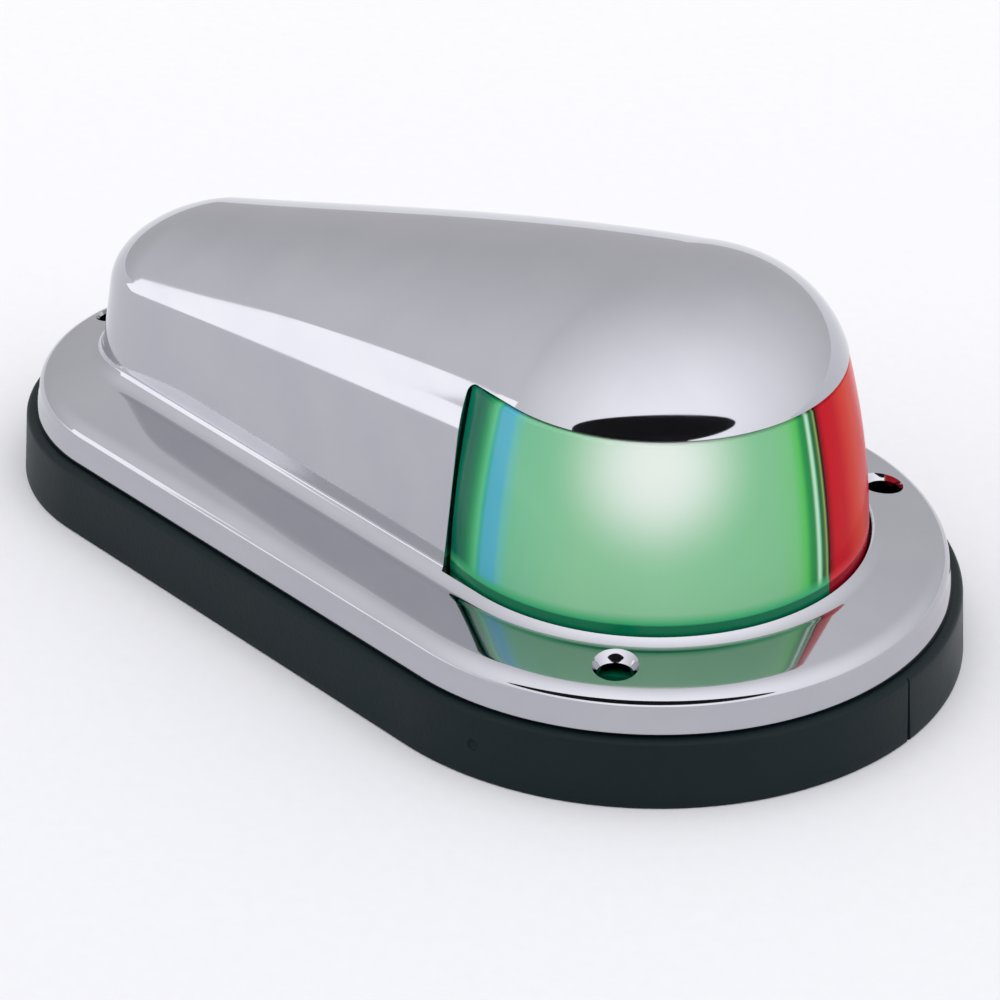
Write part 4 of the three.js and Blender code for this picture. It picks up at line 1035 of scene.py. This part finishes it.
    def build(self) -> bpy.types.Object:
        """Builds the casting, hollows it, and cuts its window, the lens's well and the screw holes.

        Returns:
            The piece.
        """
        flange = self.flange_rings()
        dome = self.dome_rings(float(flange[-1, 0, 2]), 0.0, 26, 56)[1:]
        cover = loft("cover_skin", np.concatenate([flange, dome]))
        carve(cover, self.hollow_tool())
        carve(cover, self.window_tool())
        carve(cover, self.well_tool())
        for x, y in MOUNT_PLACES:
            carve(cover, self.hole_tool(x, y))
        shade(cover, 32)
        return self.palette.fit(cover, Slot.CHROME, "cover", "cover")

    def hollow_tool(self) -> bpy.types.Object:
        """Makes the body that hollows the casting: the skirt's inside, then the dome's, a wall in.

        Returns:
            The body to cut away.
        """
        pad_columns = PAD.columns(BOW_STEPS, SIDE_STEPS, TAIL_STEPS)
        inset = self.skirt_inset + self.skirt_draft + self.wall
        lower = [PAD.inset(pad_columns, inset, z) for z in (SKIRT_BOTTOM - 1, self.underside)]
        upper = self.dome_rings(self.underside + 0.01, self.wall, 8, 20)
        return loft("cover_inside", np.concatenate([np.array(lower), upper]))

    def well_tool(self) -> bpy.types.Object:
        """Makes the body that cuts the well that the lens stands in, ahead of the window's edge.

        Returns:
            The body to cut away.
        """
        radius, under, over = self.well_radius, SKIRT_BOTTOM - 2, SILL_Z + 1
        profile = [(0, under), (radius, under), (radius, over), (0, over)]
        well = turned("well", profile, 192, Matrix.Translation((LENS_X, 0, 0)))
        back, low = LENS_X - WINDOW_BACK, self.underside - 0.2
        ahead = [(back, low), (FAR, low), (FAR, 30.0), (back, 30.0)]
        carve(well, prism("well_front", ahead, (-FAR, FAR)), "INTERSECT")
        return well

    def hole_tool(self, x: float, y: float) -> bpy.types.Object:
        """Makes the body that cuts one screw hole: a bore, a countersink and a rounded rim.

        Args:
            x: the hole's place along the light.
            y: its place across.

        Returns:
            The body to cut away.
        """
        rim, bore = self.rim_radius, MOUNT_HOLE_RADIUS
        top = RIDGE_Z + 0.55
        under = SKIRT_BOTTOM - 3
        profile = [(0, under), (bore, under), (bore, top - (rim - bore) - 0.5)]
        profile += [(rim - 0.1, top - 0.4), (rim + 0.1, top), (rim + 0.5, top + 0.45)]
        profile += [(rim + 2.6, top + 2.5), (0, top + 2.5)]
        return turned("hole_tool", profile, 64, Matrix.Translation((x, y, 0)))


@dataclass
class MountingPad:
    """The thick rubber pad: a teardrop slab, round-shouldered, with screw holes and mould marks."""

    palette: Palette
    draft: float = 0.5
    shoulder: float = 0.7
    foot: float = 0.3
    hole_radius: float = 2.55
    dimple_place: tuple[float, float, float] = (32.6, -39.62, 4.6)

    def groove(self, depth: float, wide: float, facing: int) -> bpy.types.Object:
        """The mould's parting groove on the centre line: a thin upright wedge that points inwards.

        Args:
            depth: how deep it bites.
            wide: its width at the surface.
            facing: 1 for the bow end and -1 for the tail end.

        Returns:
            The body to cut away.
        """
        reach = PAD.bow_x + PAD.bow_radius - self.draft
        half = wide * (1 + depth) / depth / 2
        plan = [(reach - depth, 0.0), (reach + 1, -half), (reach + 1, half)]
        ends = (-1.0, PAD_HEIGHT + 1)
        points = np.array([(facing * x, facing * y, z) for z in ends for x, y in plan])
        faces = [[2, 1, 0], [3, 4, 5], [0, 1, 4, 3], [1, 2, 5, 4], [2, 0, 3, 5]]
        return mesh_object("groove_tool", points, faces)

    def dimple(self) -> bpy.types.Object:
        """Makes the small round mark that an ejector pin leaves in the side: a flattened ball.

        Returns:
            The body to cut away.
        """
        turn = np.linspace(-math.pi / 2, math.pi / 2, 13)
        profile = [(0.75 * math.cos(a), 0.4 * math.sin(a)) for a in turn]
        lay = Matrix.Translation(self.dimple_place) @ Matrix.Rotation(math.pi / 2, 4, "X")
        return turned("dimple_tool", [(max(r, 0.0), h) for r, h in profile], 24, lay)

    def build(self) -> bpy.types.Object:
        """Builds the slab with a rounded foot and shoulder, and cuts its holes and mould marks.

        Returns:
            The piece.
        """
        columns = PAD.columns(BOW_STEPS, SIDE_STEPS, TAIL_STEPS)
        rings = []
        for angle in np.linspace(-math.pi / 2, 0, 4):
            inset = self.foot * (1 - math.cos(angle))
            rings.append(PAD.inset(columns, inset, self.foot * (1 + math.sin(angle))))
        low, high = self.foot, PAD_HEIGHT - self.shoulder
        for share in np.linspace(0, 1, 7)[1:]:
            rings.append(PAD.inset(columns, self.draft * share, low + (high - low) * share))
        for angle in np.linspace(0, math.pi / 2, 7)[1:]:
            inset = self.draft + self.shoulder * (1 - math.cos(angle))
            rings.append(PAD.inset(columns, inset, high + self.shoulder * math.sin(angle)))
        pad = loft("pad_rubber", np.array(rings))
        for x, y in MOUNT_PLACES:
            radius, over = self.hole_radius, PAD_HEIGHT + 1
            profile = [(0, -1), (radius, -1), (radius, over), (0, over)]
            carve(pad, turned("pad_hole", profile, 48, Matrix.Translation((x, y, 0))))
        for facing in (1, -1):
            carve(pad, self.groove(0.5, 0.35, facing))
        carve(pad, self.dimple())
        shade(pad, 35)
        return self.palette.fit(pad, Slot.RUBBER, "base", "mounting_pad")


@dataclass
class Lenses:
    """The green and red lens halves, turned about the lens axis and parted on the centre line."""

    palette: Palette
    wall: float = 2.6
    foot_radius: float = 27.4
    brim_radius: float = 23.6
    bulge: float = 0.75
    flange: float = 3.0
    gap: float = 0.3
    seam: float = 0.06

    def radius(self, z: np.ndarray) -> np.ndarray:
        """Gives the outer radius: a straight cone plus a bulge of 4t(1 - t).

        Args:
            z: heights.

        Returns:
            The radius at each.
        """
        t = np.clip((z - FOOT_Z) / (BRIM_Z - FOOT_Z), 0, 1)
        cone = self.foot_radius + (self.brim_radius - self.foot_radius) * t
        return cone + self.bulge * 4 * t * (1 - t)

    def profile(self) -> np.ndarray:
        """Gives the wall's closed profile: foot flange, bulged outer face, spigot and inner face.

        Returns:
            (radius, height) rows.
        """
        top = BRIM_Z - self.gap
        low = 11.2
        levels = np.linspace(FOOT_Z, top - 0.3, 30)
        outer = np.stack([self.radius(levels), levels], -1)
        inner_levels = np.linspace(top - self.wall, FOOT_Z, 24)
        inner = np.stack([self.radius(inner_levels) - self.wall, inner_levels], -1)
        rim = self.radius(np.array(top))
        reach = self.foot_radius + self.flange
        foot = [(reach, low), (reach, 12.3), (self.foot_radius, 12.35)]
        spigot = [(rim - 0.3, top), (18.8, top), (18.8, top + 1.9), (16.4, top + 1.9)]
        spigot += [(16.4, top - self.wall)]
        return np.concatenate([foot, outer, spigot, inner, [(self.foot_radius - self.wall, low)]])

    def half(self, name: str, side: int, slot: Slot, node: str) -> bpy.types.Object:
        """Makes one half.

        Args:
            name: the piece's name.
            side: 1 for port and -1 for starboard.
            slot: its material slot.
            node: the node that it stands for.

        Returns:
            The object.
        """
        lens = turned(name, self.profile(), 288, Matrix.Translation((LENS_X, 0, 0)))
        back_low = LENS_X - WINDOW_BACK + self.gap
        back_high = back_low + (BRIM_Z - SILL_Z) * WINDOW_LEAN
        outline = [(back_low, 5.0), (FAR, 5.0), (FAR, 60.0), (back_high, 60.0)]
        outline += [(back_high, BRIM_Z), (back_low, SILL_Z)]
        ys = (self.seam, 60.0) if side > 0 else (-60.0, -self.seam)
        carve(lens, prism("half_tool", outline, ys), "INTERSECT")
        shade(lens, 30)
        return self.palette.fit(lens, slot, "cover", node)

    def build(self) -> list[bpy.types.Object]:
        """Builds the starboard half, then the port half."""
        green = self.half("lens_starboard", -1, Slot.GREEN_LENS, "lens_green")
        return [green, self.half("lens_port", 1, Slot.RED_LENS, "lens_red")]


@dataclass
class Spring:
    """The return spring behind the contact disc, drawn at one length."""

    palette: Palette
    back_x: float = -8.13
    front_x: float = -2.37
    coil_radius: float = 4.6
    wire_radius: float = 0.45
    turns: float = 3.0
    closing: float = 0.3
    push: float = 2.0

    def build(self) -> bpy.types.Object:
        """Builds the wire at one length.

        The path is a circle about the bulb's axis that moves forward by t - closing sin(2 pi t) /
        (2 pi) of the length, so its ends lie flatter. A ring across the wire is its outward and its
        forward direction, turned by an angle.

        Returns:
            The piece.
        """
        t = np.linspace(0, 1, 361)[:, None]
        around = 2 * np.pi * self.turns * t
        wire = np.linspace(0, 2 * np.pi, 12, endpoint=False)[None, :]
        low, high = self.back_x + self.wire_radius, self.front_x - self.wire_radius
        along = low + (high - low) * (t - self.closing * np.sin(2 * np.pi * t) / (2 * np.pi))
        reach = self.coil_radius + self.wire_radius * np.cos(wire)
        x = along - self.wire_radius * np.sin(wire)
        rings = np.stack([x, reach * np.cos(around), BULB_Z + reach * np.sin(around)], -1)
        spring = loft("return_spring", rings)
        self.palette.fit(spring, Slot.ZINC_STEEL, "base", "contact_spring")
        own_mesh(spring)
        return spring


@dataclass
class BulbEnvelope:
    """The bulb's blown glass: a ball on a neck, with an even wall."""

    palette: Palette
    start_x: float = 13.45
    neck_x: float = 17.65
    tip_x: float = 36.75
    radius: float = 9.0
    neck_radius: float = 6.5
    wall: float = 0.7
    opening: float = 2.3

    def build(self) -> bpy.types.Object:
        """Builds the glass: two concentric arcs and a straight neck, turned about the bulb's axis.

        Returns:
            The piece.
        """
        centre = self.tip_x - self.radius
        arc = np.linspace(self.opening, 0, 40)
        outer = np.stack([self.radius * np.sin(arc), centre + self.radius * np.cos(arc)], -1)
        inside = self.radius - self.wall
        inner = np.stack([inside * np.sin(arc[::-1]), centre + inside * np.cos(arc[::-1])], -1)
        inner_neck = self.neck_radius - self.wall
        neck = [(inner_neck, self.start_x), (self.neck_radius, self.start_x)]
        neck += [(self.neck_radius, self.neck_x)]
        profile = np.concatenate([neck, outer, inner, [(inner_neck, self.neck_x)]])
        lay = Matrix.Translation((0, 0, BULB_Z)) @ Matrix.Rotation(math.pi / 2, 4, "Y")
        glass = turned("bulb_envelope", profile, 96, lay)
        return self.palette.fit(glass, Slot.GLASS, "bulb", "bulb_glass")


# ---------------------------------------------------------------- studio
@dataclass
class Studio:
    """The plain pale studio: paper floor, soft tent, a dark card, a lit panel and the camera."""

    azimuth: float = 39.37
    elevation: float = 30.83
    distance_mm: float = 558.9
    aim_mm: tuple[float, float, float] = (-5.82, 0.0, 0.0)
    lens_mm: float = 153.7
    shift: tuple[float, float] = (0.0662, 0.0418)
    floor_reach_mm: float = 4000.0
    tent_bright_side: tuple[float, float] = (47.0, 25.0)
    tent_low: float = 0.68
    tent_gain: float = 1.17
    tent_narrowness: float = 1.3
    card_side: tuple[float, float] = (36.0, 23.0)
    card_away_mm: float = 900.0
    card_half_mm: tuple[float, float] = (900.0, 185.0)
    panel_start: tuple[float, float, float] = (-17.0, -24.0, 1.0)
    panel_along: tuple[float, float, float] = (0.984, -0.178, 0.0)
    panel_away: tuple[float, float, float] = (-0.857, -0.515, 0.0)
    panel_width_mm: tuple[float, float] = (-120.0, 170.0)
    panel_depth_mm: tuple[float, float] = (150.0, 1300.0)
    panel_height_mm: float = 330.0

    def direction(self, azimuth: float, elevation: float) -> Vector:
        """Gives the unit vector towards an azimuth, from -Y towards +X, and an elevation."""
        a, e = math.radians(azimuth), math.radians(elevation)
        return Vector((math.sin(a) * math.cos(e), -math.cos(a) * math.cos(e), math.sin(e)))

    def camera(self) -> None:
        """Places the camera and makes it the scene's."""
        data = bpy.data.cameras.new("camera")
        data.lens, data.sensor_width = self.lens_mm, 36.0
        data.shift_x, data.shift_y = self.shift
        data.clip_end = 50.0
        camera = bpy.data.objects.new("camera", data)
        back = self.direction(self.azimuth, self.elevation)
        camera.location = Vector(self.aim_mm) * MM + back * self.distance_mm * MM
        camera.rotation_euler = (-back).to_track_quat("-Z", "Y").to_euler()
        bpy.context.scene.collection.objects.link(camera)
        bpy.context.scene.camera = camera

    def tent(self) -> None:
        """Lights the scene from all round, brightest towards one side.

        The strength is low + gain times (1 + cosine of the angle to that side) / 2, to a power.
        """
        world = bpy.data.worlds.new("studio")
        world.use_nodes = True
        tree = world.node_tree
        tree.nodes.clear()
        where = add_node(tree, "ShaderNodeTexCoord").outputs["Generated"]
        bright = {0: where, 1: self.direction(*self.tent_bright_side)}
        toward = add_node(tree, "ShaderNodeVectorMath", bright, operation="DOT_PRODUCT")
        half = {"Value": toward.outputs["Value"], "From Min": -1.0, "From Max": 1.0}
        facing = add_node(tree, RANGE, half).outputs["Result"]
        pool = add_node(tree, MATHS, {0: facing, 1: self.tent_narrowness}, operation="POWER")
        sums = {0: pool.outputs[0], 1: self.tent_gain, 2: self.tent_low}
        total = add_node(tree, MATHS, sums, operation="MULTIPLY_ADD").outputs[0]
        tint = {"Color": linear("#F8F8FB"), "Strength": total}
        background = add_node(tree, "ShaderNodeBackground", tint)
        add_node(tree, "ShaderNodeOutputWorld", {"Surface": background.outputs["Background"]})
        bpy.context.scene.world = world

    def sheet(
        self, name: str, corners: np.ndarray, faces: list, finish: Finish
    ) -> bpy.types.Object:
        """Hangs a flat sheet of the studio.

        Args:
            name: the sheet's name.
            corners: an (n, 3) array in millimetres.
            faces: lists of corner numbers.
            finish: what it is made of.

        Returns:
            The sheet.
        """
        sheet = mesh_object(name, corners, faces)
        sheet.data.materials.append(finish.build())
        return sheet

    def floor(self) -> None:
        """Lays the paper floor."""
        r = self.floor_reach_mm
        corners = np.array([(-r, -r, 0), (r, -r, 0), (r, r, 0), (-r, r, 0)])
        self.sheet("floor", corners, [[0, 1, 2, 3]], PAPER)

    def dark_card(self) -> None:
        """Hangs the oval velvet card that gives the chrome its black accents."""
        azimuth, elevation = self.card_side
        out = np.array(self.direction(azimuth, elevation))
        across = np.array(self.direction(azimuth + 90, 0))
        above = np.cross(across, out)
        turn = np.linspace(0, 2 * np.pi, 64, endpoint=False)[:, None]
        wide, tall = self.card_half_mm
        oval = wide * np.cos(turn) * across + tall * np.sin(turn) * above
        corners = out * self.card_away_mm + oval
        self.sheet("dark_card", corners, [list(range(64))], VELVET).visible_camera = False

    def side_reflector(self) -> None:
        """Lays the lit panel beside the light, which the top of the side wall mirrors as a band.

        It lies on the floor and then stands up at its far end.
        """
        start, along, away = (
            np.array(v) for v in (self.panel_start, self.panel_along, self.panel_away)
        )
        (left, right), (near, far) = self.panel_width_mm, self.panel_depth_mm
        places = ((left, near), (right, near), (right, far), (left, far))
        corners = [start + along * a + away * b for a, b in places]
        up = np.array((0, 0, self.panel_height_mm))
        corners += [corners[2] + up, corners[3] + up]
        faces = [[0, 3, 2, 1], [3, 5, 4, 2]]
        panel = self.sheet("side_reflector", np.array(corners), faces, DIFFUSER)
        panel.visible_camera = panel.visible_shadow = panel.visible_diffuse = False

    def build(self) -> None:
        """Builds the camera, tent, floor, card and panel."""
        bpy.context.scene.view_settings.view_transform = "Standard"
        self.camera()
        self.tent()
        self.floor()
        self.dark_card()
        self.side_reflector()


def main() -> None:
    """Dresses the nodes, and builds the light's looks and the studio."""
    logging.basicConfig(level=logging.INFO, format="%(name)s: %(message)s")
    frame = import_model()
    palette = Palette()
    slots = {entry["node"]: entry["material_slot"] for entry in frame["record"]["subparts"]}
    for name, node in frame["nodes"].items():
        palette.dress(node, Slot(slots[name]))
    for assembly in (Cover, MountingPad, Lenses, Spring, BulbEnvelope):
        assembly(palette).build()
    Studio().build()


if __name__ == "__main__":
    main()
